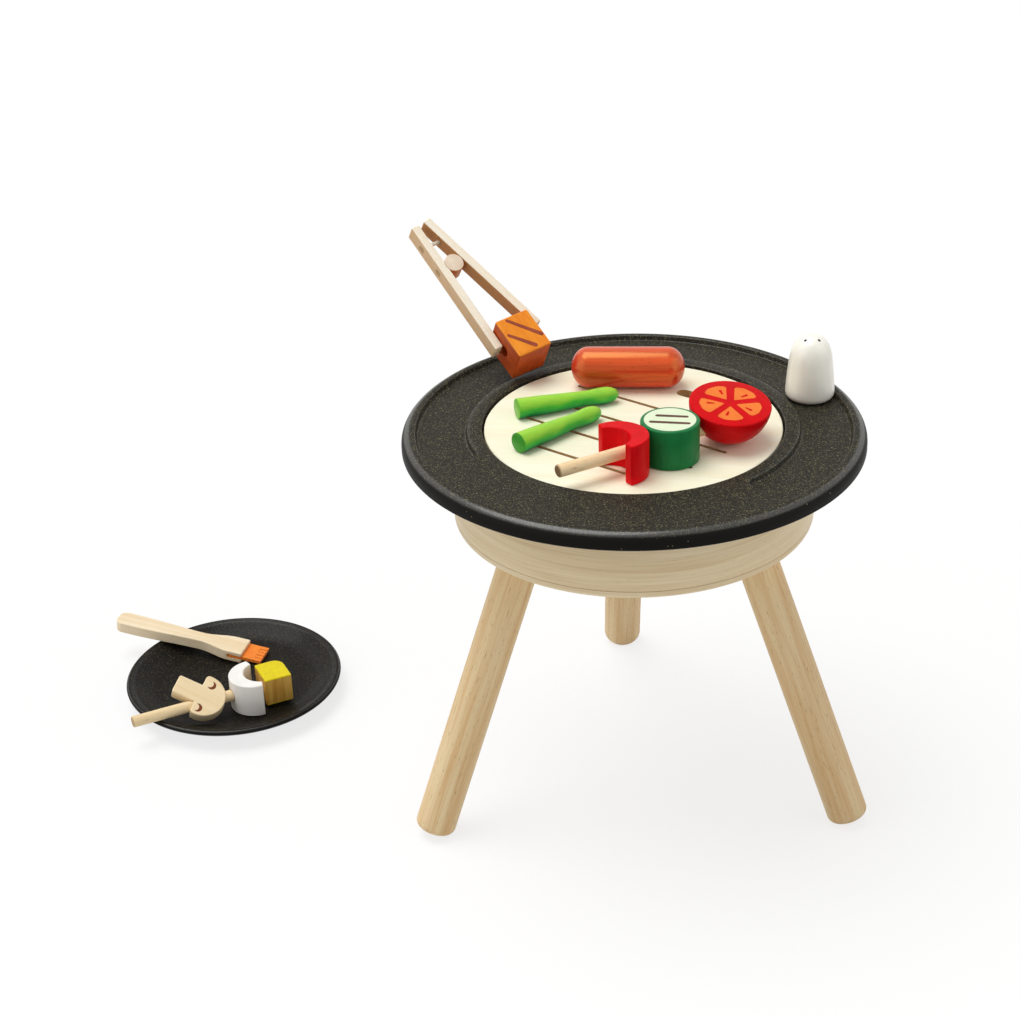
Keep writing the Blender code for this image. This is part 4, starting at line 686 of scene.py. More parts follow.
# ---- Asparagus
# Two turned spears with a waist below a round head. Both are sprayed leaf green and then yellow-green from
# above, so the colour changes softly round them, and the short one's end is darker.
ASPARAGUS_LENGTH, ASPARAGUS_RADIUS, ASPARAGUS_TILT = 0.080, 0.0075, 0.9993
ASPARAGUS_SHARES = ((0.0, 0.90), (0.006, 0.985), (0.03, 1.0), (0.25, 0.95), (0.45, 0.86), (0.60, 0.785),
                    (0.70, 0.765), (0.78, 0.81), (0.86, 0.84), (0.92, 0.76), (0.965, 0.56), (0.99, 0.30),
                    (1.0, 0.0))
SPEARS = (("long", (-0.0856, 0.0130, 0.0078), 20.7, "#7CC24A"),
          ("short", (-0.0819, -0.0441, 0.0078), 43.7, "#3F9A34"))


def smooth_line(points, steps):
    """Return a smooth line through these points."""
    knots = [Vector(point) for point in points]
    knots = [2 * knots[0] - knots[1]] + knots + [2 * knots[-1] - knots[-2]]
    line = []
    for before, start, end, after in zip(knots, knots[1:], knots[2:], knots[3:]):
        for share in [step / steps for step in range(steps)]:
            bend = (2 * before - 5 * start + 4 * end - after) * share
            bend += (3 * start - before - 3 * end + after) * share ** 2
            line.append(tuple(start + ((end - before) + bend) * share / 2))
    return line + [tuple(knots[-2])]


for spear, spear_spot, angle, end_colour in SPEARS:
    spear_place = seat(grate_top, spear_spot, (0, ASPARAGUS_TILT, angle))
    line = smooth_line([(ASPARAGUS_RADIUS * wide, ASPARAGUS_LENGTH * far) for far, wide in ASPARAGUS_SHARES],
                       3)
    profile = [(0, 0)] + [(max(radius, 0), min(max(far, 0), ASPARAGUS_LENGTH)) for radius, far in line]
    piece = form("asparagus_spear_" + spear, along_x(turned(profile, 48)), spear_place)
    # Greens sprayed over sealed wood, with a soft and wandering change between them, and a satin gloss
    green, tree, shader, spot = start_material("sprayed_green_paint_" + spear, spear_place, {
        "Roughness": 0.36, "Specular IOR Level": 0.3, "Specular Tint": "#D8F08C"})
    parts = add_node(tree, "SeparateXYZ", {0: spot}).outputs
    drift = streaks(tree, spot, (0.024, 0.010, 0.010), 2.0)
    lift = add_node(tree, "MapRange", {"Value": drift, "To Min": -0.0055, "To Max": 0.0055})
    height = add_node(tree, "Math", {0: parts["Z"], 1: lift}, operation="ADD")
    rise = add_node(tree, "MapRange", {"Value": height, "From Min": -0.005, "From Max": 0.0065})
    tone = add_node(tree, "ValToRGB", {0: rise}, ((0.0, "#068A4A"), (1.0, "#A2DC48"), (0.52, "#48BE42")))
    flat = add_node(tree, "Math", {0: parts["X"], 1: 0.0006}, operation="LESS_THAN")
    mixed = add_node(tree, "Mix", {0: flat, 6: tone, 7: end_colour}, data_type="RGBA")
    cover(shader, mixed, streaks(tree, spot, (0.030, 0.0010, 0.0010), 2.0), 0.12)
    dress(piece, "asparagus_" + spear, "green_paint", green, "asparagus_" + spear)

# ---- Skewer on the grate
# A beech dowel runs through half a pepper, a slice of zucchini and into half a tomato. The food is sawn or
# turned wood in gloss paint, and the faces of the slice and the tomato are printed. All slide on the dowel.
STICK_LENGTH, STICK_RADIUS, STICK_CHAMFER, STICK_HOLE_RADIUS = 0.133, 0.0047, 0.0007, 0.0050
FOOD_EDGE = 0.0010
SKEWER_TURN = 32.3
PEPPER_RADIUS, PEPPER_HOLLOW_RADIUS, PEPPER_HOLLOW_SHIFT, PEPPER_HEIGHT = 0.022, 0.0155, 0.0075, 0.030
PEPPER_OUTER_END, PEPPER_INNER_END = 97, 75
ZUCCHINI_RADIUS, ZUCCHINI_HEIGHT, ZUCCHINI_EDGE, ZUCCHINI_PRINT_RADIUS = 0.021, 0.030, 0.0012, 0.0184
ZUCCHINI_BAR_WIDTH = 0.0030
ZUCCHINI_BARS = (((-0.0092, 0.0058), (0.0112, 0.0052)), ((-0.0128, -0.0046), (0.0132, -0.0054)))
TOMATO_RADIUS, TOMATO_EDGE, TOMATO_TILT, TOMATO_HOLE_END = 0.0296, 0.0012, 9.2, STICK_LENGTH + 0.0006
TOMATO_SEGMENT = ((0.0045, 0.0, 0.0006), (0.0188, -0.0098, 0.0022), (0.0222, -0.0040, 0.0060),
                  (0.0222, 0.0040, 0.0060), (0.0188, 0.0098, 0.0022))
TOMATO_SEED, TOMATO_SEED_WIDTH, TOMATO_FIRST = ((0.0120, -0.0014), (0.0160, -0.0026)), 0.0022, 0.35
INK = 0.00006
skewer = seat(grate_top, (-0.0517, -0.1028, 0.0153), (0, 0, SKEWER_TURN))
pepper_place = seat(skewer, (0.0487, 0, 0))
zucchini_place = seat(skewer, (0.092, 0, 0))
tomato_place = seat(skewer, (0.1433, 0, 0.0146), (TOMATO_TILT, 0, 0))


def rod(radius, start, end, chamfer, sides):
    """Make a round bar along X with chamfered ends."""
    profile = [(0, start), (radius - chamfer, start), (radius, start + chamfer)]
    return along_x(turned(profile + [(radius, end - chamfer), (radius - chamfer, end), (0, end)], sides))


def stick_drill(stick, start, end):
    """Make the cutter of a stick's hole between two places along the stick."""
    return form("drill", rod(STICK_HOLE_RADIUS, start, end, 0.0001, 40), stick)


def plain_wood(name, place, pale, tawny, pore, pores=0.6, turn=(0, 0, 0), sides=()):
    """Sanded wood under clear lacquer, with its fibres along X of the piece's frame after this turn."""
    made, tree, shader, spot = start_material(name, seat(place, (0, 0, 0), turn), {
        "Roughness": 0.5, "Specular IOR Level": 0.2})
    looks = [(place.to_3x3() @ Vector(direction), colour) for direction, colour in sides]
    grow_grain(shader, spot, pale, tawny, pore, pores, sides=looks)
    return made


def paint(name, place, colour, deep, roughness, grain_axis, relief=0.15, shine=0.2):
    """Brushed gloss paint over wood: an even colour, a little deeper along the fibres that show through."""
    made, tree, shader, spot = start_material(name, place,
                                              {"Roughness": roughness, "Specular IOR Level": shine})
    sizes = [0.03 if axis == grain_axis else 0.0011 for axis in range(3)]
    fibres, _, tone = two_scales(tree, spot, ((0.012, 0.012, 0.012), 2.0), (sizes, 2.0), 0.5,
                                 ((0.30, deep), (0.55, colour)))
    cover(shader, tone, fibres, relief)
    return made


def half_ring(radius, hollow_radius, hollow_shift, outer_end, inner_end, height):
    """Make a thick half ring that stands upright and opens towards -X."""
    outline = arc(0, 0, radius, -outer_end, outer_end, 56)
    outline += arc(-hollow_shift, 0, hollow_radius, inner_end, -inner_end, 44)
    return extruded(outline, -height / 2, height / 2)


def printed(name, outline, place, height):
    """Make a thin printed shape on a flat face at this height in the place's frame."""
    return form(name, extruded(outline, height - INK, height + INK), place)


def stroke(start, end, width, taper=0.55):
    """Return the outline of a printed stroke with round ends, its width changed by a share at its start."""
    begin, stop = Vector(start), Vector(end)
    heading = degrees((stop - begin).angle_signed(Vector((1, 0))))
    outline = arc(stop.x, stop.y, width / 2, heading - 90, heading + 90, 10)
    return outline + arc(begin.x, begin.y, width * taper / 2, heading + 90, heading + 270, 10)


stick = form("skewer_dowel", rod(STICK_RADIUS, 0, STICK_LENGTH, STICK_CHAMFER, 40), skewer)
beech = plain_wood("beech_dowel", skewer, "#FFE8BC", "#F2CA96", "#B88C5C", sides=[((-1, 0, 0), "#8A7C6C")])
dress(stick, "skewer", "natural_wood", beech, "skewer_stick")

bm = half_ring(PEPPER_RADIUS, PEPPER_HOLLOW_RADIUS, PEPPER_HOLLOW_SHIFT, PEPPER_OUTER_END, PEPPER_INNER_END,
               PEPPER_HEIGHT)
pepper = form("half_pepper", bm, pepper_place, FOOD_EDGE, [stick_drill(skewer, 0, STICK_LENGTH)])
pepper_red = paint("gloss_red_paint_pepper", pepper_place, "#E4121A", "#D00E16", 0.30, 2, 0.15, 0.04)
dress(pepper, "red_pepper", "bright_red_paint", pepper_red, "red_pepper")

half = ZUCCHINI_HEIGHT / 2
corners = [(0, -half, 0), (ZUCCHINI_RADIUS, -half, ZUCCHINI_EDGE), (ZUCCHINI_RADIUS, half, ZUCCHINI_EDGE),
           (0, half, 0)]
zucchini = form("zucchini_slice", turned(rounded(corners, 5), 96), zucchini_place,
                cutters=[stick_drill(skewer, 0, STICK_LENGTH)])
zucchini_green = paint("dark_green_satin_paint", zucchini_place, "#127A3E", "#0A6A34", 0.36, 2)
dress(zucchini, "zucchini", "dark_green_paint", zucchini_green, "zucchini")

# Screen-printed inks: a pale green disc and two dark brown bars nearly level in the photograph's view
pale_ink = paint("pale_green_ink", zucchini_place, "#EBF5D6", "#DFEFC8", 0.45, 0, 0.05, 0.15)
brown_ink = paint("dark_brown_ink", zucchini_place, "#5E3A26", "#4C2C1C", 0.5, 0, 0.05)
disc = arc(0, 0, ZUCCHINI_PRINT_RADIUS, 0, 360, 96)[:-1]
dress(printed("zucchini_flesh_print", disc, zucchini_place, half), "zucchini", "dark_green_paint", pale_ink)
level_place = seat(zucchini_place, (0, 0, 0), (0, 0, -SKEWER_TURN - 5.0))
for number, (start, end) in enumerate(ZUCCHINI_BARS):
    outline = stroke(start, end, ZUCCHINI_BAR_WIDTH, 1.1)
    bar_print = printed("zucchini_bar_print_" + str(number), outline, level_place, half + 2 * INK)
    dress(bar_print, "zucchini", "dark_green_paint", brown_ink)

profile = arc(0, 0, TOMATO_RADIUS, -90, -3, 30)
profile[0] = (0, -TOMATO_RADIUS)
profile += arc(TOMATO_RADIUS - TOMATO_EDGE, -TOMATO_EDGE, TOMATO_EDGE, 4, 90, 6) + [(0, 0)]
tomato = form("half_tomato", turned(profile, 112), tomato_place,
              cutters=[stick_drill(skewer, STICK_LENGTH / 2, TOMATO_HOLE_END)])
tomato_red = paint("gloss_red_paint_tomato", tomato_place, "#DC0C14", "#C8080E", 0.26, 1, 0.15, 0.05)
dress(tomato, "tomato_half", "bright_red_paint", tomato_red, "tomato_half")

# Five equal orange segments round the tomato's middle, each with a seed in the red of the face
orange_ink = paint("orange_ink", tomato_place, "#F6802A", "#EE701E", 0.35, 1, 0.05)
for name, outline, height, ink in (("segments", rounded(TOMATO_SEGMENT, 6), 0, orange_ink),
                                   ("seeds", stroke(*TOMATO_SEED, TOMATO_SEED_WIDTH), 2 * INK, tomato_red)):
    prints = printed("tomato_" + name + "_print", outline, Matrix(), height)
    run_tree(prints, copies,
             {"Count": 5, "First angle": TOMATO_FIRST, "Axis": (0.0, 0.0, 0.0), "Finish": ink})
    prints.data.transform(tomato_place)
    dress(prints, "tomato_half", "bright_red_paint", None)

# ---- Salmon cube
# A sawn block with rounded edges, stained orange, its sides darker red-brown than its top: partly the stain's
# own tone and partly painted shade. Two brown grill marks are printed on it. A hole for a stick runs across
# it. It lies with one corner on the rim, held by the tongs.
CUBE_WIDTH, CUBE_DEPTH, CUBE_HEIGHT, CUBE_EDGE = 0.0295, 0.0355, 0.031, 0.0015
CUBE_TURN = (32.152, -6.666, 36.569)
MARKS, MARK_WIDTH = (((0.0268, 0.0247), (0.0090, 0.0032)), ((0.0169, 0.0315), (0.0028, 0.0154))), 0.0036
cube_place = seat(grate_top, (-0.0864, 0.0906, 0.0255), CUBE_TURN)
width, depth, height = CUBE_WIDTH / 2, CUBE_DEPTH / 2, CUBE_HEIGHT / 2


def bar(low, high):
    """Make a square bar between two corners."""
    return extruded([(low[0], low[1]), (high[0], low[1]), (high[0], high[1]), (low[0], high[1])],
                    low[2], high[2])


cube = form("salmon_block", bar((-width, -depth, -height), (width, depth, height)), cube_place, CUBE_EDGE,
            [stick_drill(cube_place, -0.02, 0.02)])

# Orange stain with soft mottling: red-brown sides and a bright orange top, the sides darker partly by the
# stain and partly as painted shade
salmon, tree, shader, spot = start_material("orange_stained_wood", cube_place, {
    "Roughness": 0.36, "Specular IOR Level": 0.2})
_, both, sides, top = two_scales(
    tree, spot, ((0.006, 0.012, 0.006), 3.0, 0.5), ((0.0011, 0.030, 0.0011), 3.0), 0.5,
    ((0.3, "#A84018"), (0.65, "#CC5A26")), ((0.3, "#E97C18"), (0.62, "#F99B2C")))
# The top is lighter than the sides: partly the stain's own tone, partly painted shade on the sides
rise = add_node(tree, "SeparateXYZ", {0: spot}).outputs["Z"]
above = add_node(tree, "MapRange", {"Value": rise, "From Min": height - 0.0013, "From Max": height - 0.0005})
mixed = add_node(tree, "Mix", {0: above, 6: sides, 7: top}, data_type="RGBA")
cover(shader, mixed, both, 0.2, 0.0003)
dress(cube, "salmon_cube", "orange_stain", salmon, "salmon_cube")

mark_ink = paint("red_brown_ink", cube_place, "#A04A30", "#8A3A26", 0.5, 1, 0.1)
for number, mark in enumerate(MARKS):
    stop, begin = [(x - width, depth - y) for x, y in mark]
    outline = stroke(begin, stop, MARK_WIDTH, 0.75)
    mark_print = printed("salmon_mark_print_" + str(number), outline, cube_place, height)
    dress(mark_print, "salmon_cube", "orange_stain", mark_ink)

# ---- Tongs
# Two straight sawn arms of pale wood rock on a cross roller that a dowel pins to the left arm. A white
# elastic through both tails, held by a dowel plug in each, pulls the tips together on the cube.
ARM_LENGTH, ARM_WIDTH, ARM_HEIGHT, ARM_EDGE, ARM_SPREAD = 0.120, 0.0072, 0.013, 0.0010, 13.8015
ROLLER_RADIUS, ROLLER_SPOT, ROLLER_REACH, ROLLER_EDGE = 0.00755, (0.00655, 0.0793, 0), 0.00785, 0.0004
GLUE_GAP, SAW_OVERRUN, OUTSIDE = 0.0003, 0.002, -0.01
PIN_RADIUS, PIN_HOLE_RADIUS, PIN_END, PIN_CHAMFER = 0.0025, 0.0028, 0.007, 0.0002
ELASTIC_RADIUS, ELASTIC_ALONG, ELASTIC_START, ELASTIC_END = 0.0015, 0.103, -0.0042, 0.01081
PLUG_RADIUS, PLUG_LENGTH, LEFT_PLUG_SEAT, RIGHT_PLUG_SPOT = 0.0027, 0.0024, -0.0045, (0.01265, 0.021297, 0)
WAY_SPOT, WAY_RADIUS, WAY_START, WAY_END = (0.00881, ELASTIC_ALONG, 0), 0.0024, -0.002, 0.0055
grip = seat(cube_place, (-0.01505, 0.00225, -0.0018), (6.2, 0, 0))
tongs = seat(grip, (0, 0, 0), (0, 0, 2.26))
right_arm = seat(tongs, ROLLER_SPOT, (0, 0, ARM_SPREAD))
pin_spot, elastic_spot, half = (0, ROLLER_SPOT[1], 0), (0, ELASTIC_ALONG, 0), ARM_HEIGHT / 2


def cross_drill(place, spot, radius, start, end):
    """Make the cutter of a round hole across an arm."""
    return form("drill", along_x(turned([(0, start), (radius, start), (radius, end), (0, end)], 40)),
                seat(place, spot))


# Sawn beech: cream faces, with the outer sides painted tan and the inner sides orange-tan as painted shade
arm_wood, right_wood = [
    plain_wood(name, place, "#FFF6E4", "#FBE9CC", "#C8A070", 0.3, (0, 0, 90),
               [((inner, 0, 0), "#C89862"), ((-inner, 0, 0), "#E0C4A6")])
    for name, place, inner in (("beech_tongs", tongs, 1), ("beech_tongs_right", right_arm, -1))]
# The roller's pale faces are end grain, and its sides that face the front are painted orange-tan as painted
# shade
roller_wood = plain_wood("beech_roller_end_grain", tongs, "#F4E2CC", "#E4C8AA", "#B48C68", 0.3, (0, 90, 0),
                         [(direction, "#F0BE8A")
                          for direction in ((0, -1, 0), (0.8, -0.6, 0), (-0.8, -0.6, 0))])
groove_radius, groove_top = ROLLER_RADIUS + GLUE_GAP, half + SAW_OVERRUN
profile = [(0, -groove_top), (groove_radius, -groove_top), (groove_radius, groove_top), (0, groove_top)]
cutters = [form("groove", turned(profile, 64), seat(tongs, ROLLER_SPOT)),
           cross_drill(tongs, pin_spot, PIN_HOLE_RADIUS, OUTSIDE, PIN_END),
           cross_drill(tongs, elastic_spot, ELASTIC_RADIUS + GLUE_GAP, OUTSIDE, SAW_OVERRUN),
           cross_drill(tongs, elastic_spot, PLUG_RADIUS + GLUE_GAP, OUTSIDE, LEFT_PLUG_SEAT)]
arm = form("tongs_left_arm", bar((-ARM_WIDTH, 0, -half), (0, ARM_LENGTH, half)), tongs, ARM_EDGE, cutters)
dress(arm, "tongs_left", "natural_wood", arm_wood, "tongs_arm_left")

corners = [(0, -half, 0), (ROLLER_RADIUS, -half, ROLLER_EDGE), (ROLLER_RADIUS, half, ROLLER_EDGE),
           (0, half, 0)]
roller = form("cross_roller", turned(rounded(corners, 4), 64), seat(tongs, ROLLER_SPOT),
              cutters=[cross_drill(tongs, pin_spot, PIN_HOLE_RADIUS, OUTSIDE, PIN_END)])
dress(roller, "tongs_left", "natural_wood", roller_wood, "tongs_roller")
pin = form("roller_pin", rod(PIN_RADIUS, -ARM_WIDTH, PIN_END - GLUE_GAP, PIN_CHAMFER, 32),
           seat(tongs, pin_spot))
plug_wood = plain_wood("beech_plug_end_grain", tongs, "#CDAA78", "#A9845A", "#7A5A38", 0.7)
dress(pin, "tongs_left", "natural_wood", plug_wood, "tongs_roller_pin")
plug = form("left_plug", rod(PLUG_RADIUS, 0, PLUG_LENGTH, PIN_CHAMFER, 32),
            seat(tongs, (-ARM_WIDTH, ELASTIC_ALONG, 0)))
dress(plug, "tongs_left", "natural_wood", plug_wood, "tongs_plug_left")

cutters = [cross_drill(tongs, WAY_SPOT, WAY_RADIUS, WAY_START, WAY_END),
           cross_drill(right_arm, RIGHT_PLUG_SPOT, PLUG_RADIUS + GLUE_GAP, -GLUE_GAP, 0.005)]
bm = bar((ROLLER_REACH, -ROLLER_SPOT[1], -half),
         (ROLLER_REACH + ARM_WIDTH, ARM_LENGTH - ROLLER_SPOT[1], half))
arm = form("tongs_right_arm", bm, right_arm, ARM_EDGE, cutters)
dress(arm, "tongs_right", "natural_wood", right_wood, "tongs_arm_right")
plug = form("right_plug", rod(PLUG_RADIUS, 0, PLUG_LENGTH, PIN_CHAMFER, 32), seat(right_arm, RIGHT_PLUG_SPOT))
dress(plug, "tongs_right", "natural_wood", plug_wood, "tongs_plug_right")

# White rubber thread: matt, with the faint ribs of its covering
elastic = form("elastic_link", rod(ELASTIC_RADIUS, ELASTIC_START, ELASTIC_END, 0.0001, 32),
               seat(tongs, elastic_spot))
rubber, tree, shader, spot = start_material("white_rubber_thread", tongs, {"Roughness": 0.62})
ribs = add_node(tree, "TexWave", {"Vector": spot, "Scale": 320.0})
tone = add_node(tree, "ValToRGB", {0: ribs.outputs["Fac"]}, ((0.0, "#E6DFCC"), (1.0, "#F6F1E2")))
feed(shader, {"Base Color": tone})
dress(elastic, "tongs_left", "white_rubber", rubber, "tongs_elastic")

# ---- Salt shaker
# A turned bell of wood in white satin paint, with two drilled holes near the front of its dome. It stands
# loose in the rim's tray.
SHAKER_RADIUS, SHAKER_HEIGHT, SHAKER_BASE_FILLET, SHAKER_FOOT = 0.0183, 0.050, 0.005, 0.006
SHAKER_SHARES = ((1.0, 0.14), (0.955, 0.36), (0.90, 0.56), (0.845, 0.70), (0.77, 0.80), (0.655, 0.88),
                 (0.50, 0.94),
                 (0.27, 0.985), (0.0, 1.0))
HOLE_RADIUS, HOLE_SIDE, HOLE_FRONT, HOLE_BOTTOM, HOLE_TOP = 0.001, 0.005, -0.0056, 0.0464, 0.053
shaker_place = seat(grill, (0.13217, 0.04995, 0.2938))
corners = [(0, 0, 0), (SHAKER_RADIUS, 0, SHAKER_BASE_FILLET), (SHAKER_RADIUS, SHAKER_FOOT, 0)]
profile = [(0, 0)] + rounded(corners)[1:-1]
profile += smooth_line([(SHAKER_RADIUS * wide, SHAKER_HEIGHT * high) for wide, high in SHAKER_SHARES], 4)
drill = [(0, HOLE_BOTTOM), (HOLE_RADIUS, HOLE_BOTTOM), (HOLE_RADIUS, HOLE_TOP), (0, HOLE_TOP)]
holes = [form("drill", turned(drill, 24), seat(shaker_place, (side, HOLE_FRONT, 0)))
         for side in (-HOLE_SIDE, HOLE_SIDE)]
shaker = form("salt_shaker_bell", turned(profile, 80), shaker_place, cutters=holes)


def repaint(finish, place, colour, mark_out):
    """Give a paint another colour where a mask is 1, marked out from the coordinates in a piece's frame."""
    tree = finish.node_tree
    shader = tree.nodes["Principled BSDF"]
    mask = mark_out(tree, own_frame(tree, add_node(tree, "TexCoord").outputs["Object"], place))
    painted = shader.inputs["Base Color"].links[0].from_socket
    feed(shader, {"Base Color": add_node(tree, "Mix", {0: mask, 6: painted, 7: colour}, data_type="RGBA")})
    return shader


def shaker_holes(tree, spot):
    """Mark out the two holes, one at each side of the shaker's middle."""
    parts = add_node(tree, "SeparateXYZ", {0: spot}).outputs
    folded = add_node(tree, "Math", {0: parts["X"]}, operation="ABSOLUTE")
    flat = add_node(tree, "CombineXYZ", {0: folded, 1: parts["Y"]})
    away = add_node(tree, "VectorMath", {0: flat, 1: (HOLE_SIDE, HOLE_FRONT, 0)}, operation="DISTANCE")
    return add_node(tree, "Math", {0: away, 1: HOLE_RADIUS + 0.00003}, operation="LESS_THAN")


# White satin paint under a thin clear coat, and bare wood in the holes painted dark grey-brown as painted
# shade
white = paint("white_satin_paint", shaker_place, "#FFFDF0", "#FBF8EA", 0.36, 2, 0.1, 0.8)
shader = repaint(white, shaker_place, "#4A443A", shaker_holes)
feed(shader, {"Coat Weight": 0.7, "Coat Roughness": 0.3})
dress(shaker, "salt_shaker", "white_paint", white, "salt_shaker")

# ---- Plate
# A shallow dish moulded in the same black wood-filled plastic as the rim, with a rolled lip and a foot ring.
# It stands on the floor beside the grill.
FLOOR_EDGE, WALL_RUN, PLATE_HEIGHT, PLATE_FLOOR, FLOOR_RUN = 0.062, 0.028, 0.018, 0.0085, 0.012
FOOT_RADIUS, FOOT_WIDTH, FOOT_RISE, FOOT_FILLET = 0.058, 0.006, 0.0035, 0.0006
UNDER_SHARES = ((0.0036, 0.083), (0.7846, 0.694), (0.8586, 0.722), (0.9518, 0.755))
LIP_SHARES = ((1.0, 0.84), (1.0, 0.91), (0.955, 0.985), (0.9036, 1.0), (0.8586, 0.985))
UPPER_SHARES = ((0.7493, 0.93), (0.55, 0.76), (0.2929, 0.585), (0.0, 0.4722))
plate_place = seat(grill, (-0.3377, 0.0975, 0), (0, 0, 11.3))
foot_inner = FOOT_RADIUS - FOOT_WIDTH
corners = [(0, FOOT_RISE, 0), (foot_inner, FOOT_RISE, FOOT_FILLET), (foot_inner, 0, FOOT_FILLET),
           (FOOT_RADIUS, 0, 0.0008), (FLOOR_EDGE, 0.0015, 0)]
profile = rounded(corners, 4)[:-1]
wall = [(FLOOR_EDGE + WALL_RUN * out, PLATE_HEIGHT * high)
        for out, high in UNDER_SHARES + LIP_SHARES + UPPER_SHARES]
profile += smooth_line(wall + [(FLOOR_EDGE - FLOOR_RUN, PLATE_FLOOR)], 5) + [(0, PLATE_FLOOR)]
plate = form("plate_dish", turned(profile, 160), plate_place)
plate_black = speckled_moulding("moulded_plate_plastic", plate_place,
                                FLOOR_EDGE + WALL_RUN * UPPER_SHARES[0][0],
                                "#0A0908", "#14120E", "#4E4632", 0.10, 0.05, 0.25)
dress(plate, "plate", "black_moulding", plate_black, "plate")

# ---- Brush
# A sawn and shaped handle of pale wood with a saw slot in its head, and in the slot a pad of thick orange
# felt whose end is cut into five tufts. The head lies on the plate's floor and the handle leans on the lip.
BRUSH_LENGTH, BRUSH_THICKNESS, BRUSH_EDGE, BRUSH_END_FILLET = 0.1178, 0.0095, 0.0009, 0.007
BRUSH_HEAD_HALF, BRUSH_END_HALF = 0.012, 0.00925
BRUSH_STATIONS = ((0.10, 0.024), (0.34, 0.0130), (0.84, 0.0185))
BRUSH_SLOT_START, BRUSH_SLOT_END, BRUSH_SLOT_REACH, BRUSH_SLOT_HALF = -0.002, 0.013, 0.02, 0.0018
PAD_WIDTH, PAD_THICKNESS, PAD_LENGTH, PAD_SEAT, PAD_EDGE = 0.022, 0.003, 0.0175, 0.0127, 0.0002
TUFTS, TUFT_LIFT, SLIT_WIDTH, SLIT_LENGTH = 5, 0.0001, 0.0007, 0.007
brush_place = seat(plate_place, (0.0102, 0.0386, 0.0088), (0, -8.2836, 157.1))
pairs = [(0, BRUSH_HEAD_HALF)]
for (start, wide), (end, next_wide) in zip(BRUSH_STATIONS, BRUSH_STATIONS[1:]):
    for share in [step / 20 for step in range(20)]:
        ease = share * share * (3 - 2 * share)
        pairs.append((BRUSH_LENGTH * (start + (end - start) * share), (wide + (next_wide - wide) * ease) / 2))
corners = [(far, -wide, 0) for far, wide in pairs]
corners += [(BRUSH_LENGTH, side * BRUSH_END_HALF, BRUSH_END_FILLET) for side in (-1, 1)]
corners += [(far, wide, 0) for far, wide in reversed(pairs)]
middle = BRUSH_THICKNESS / 2
slot = form("slot", bar((BRUSH_SLOT_START, -BRUSH_SLOT_REACH, middle - BRUSH_SLOT_HALF),
                        (BRUSH_SLOT_END, BRUSH_SLOT_REACH, middle + BRUSH_SLOT_HALF)), brush_place)
handle = form("brush_handle_shaped", extruded(rounded(corners), 0, BRUSH_THICKNESS), brush_place, BRUSH_EDGE,
              [slot])
# The handle's side that faces -Y is painted darker tan as painted shade
handle_wood = plain_wood("beech_brush_handle", brush_place, "#FCEACA", "#EED4A8", "#B08A5C", 0.25,
                         sides=[((0, -1, 0), "#DCC09A")])
dress(handle, "brush", "natural_wood", handle_wood, "brush_handle")

# The felt pad: a solid back in the slot, and tufts set side by side along its end
tuft_row, given, copied = start_tree("row_of_tufts", (
    ("Tufts", "Int"), ("Pitch", "Float"), ("Lift", "Float"), ("Finish", "Material")))
number = copied.outputs["Duplicate Index"]
aside = add_node(tuft_row, "Math", {0: number, 1: given["Pitch"]}, operation="MULTIPLY")
uneven = add_node(tuft_row, "FunctionNodeRandomValue", {2: -1.0, 3: 1.0, "ID": number, "Seed": 4},
                  data_type="FLOAT")
lift = add_node(tuft_row, "Math", {0: uneven, 1: given["Lift"]}, operation="MULTIPLY")
move = add_node(tuft_row, "CombineXYZ", {1: aside, 2: lift})
moved = add_node(tuft_row, "GeometryNodeTranslateInstances", {"Instances": copied, "Translation": move})
end_tree(tuft_row, add_node(tuft_row, "GeometryNodeRealizeInstances", {0: moved}), given["Finish"])

# Wool felt: matt, with a short tangled nap. Its fibres are 0.03 mm, so the nap is drawn at 0.5 mm
felt, tree, shader, spot = start_material("orange_wool_felt", brush_place,
                                          {"Roughness": 0.85, "Sheen Weight": 0.25})
nap = streaks(tree, spot, (0.0030, 0.0005, 0.0005), 3.0, 0.7)
cover(shader, add_node(tree, "ValToRGB", {0: nap}, ((0.3, "#F87008"), (0.65, "#FF9820"))), nap, 0.5, 0.0003)
low, high = middle - PAD_THICKNESS / 2, middle + PAD_THICKNESS / 2
tuft = (PAD_WIDTH - (TUFTS - 1) * SLIT_WIDTH) / TUFTS
near, slit_end = -PAD_WIDTH / 2, SLIT_LENGTH - PAD_LENGTH
pad = form("felt_pad_back", bar((slit_end - PAD_EDGE, near, low), (PAD_SEAT, -near, high)), brush_place,
           PAD_EDGE)
strip = bar((-PAD_LENGTH, near, low + TUFT_LIFT), (slit_end, near + tuft, high - TUFT_LIFT))
tufts = form("felt_tufts", strip, Matrix(), PAD_EDGE)
run_tree(tufts, tuft_row, {"Tufts": TUFTS, "Pitch": tuft + SLIT_WIDTH, "Lift": TUFT_LIFT, "Finish": felt})
tufts.data.transform(brush_place)
dress(pad, "brush", "orange_felt", felt, "brush_bristles")
dress(tufts, "brush", "orange_felt", None)

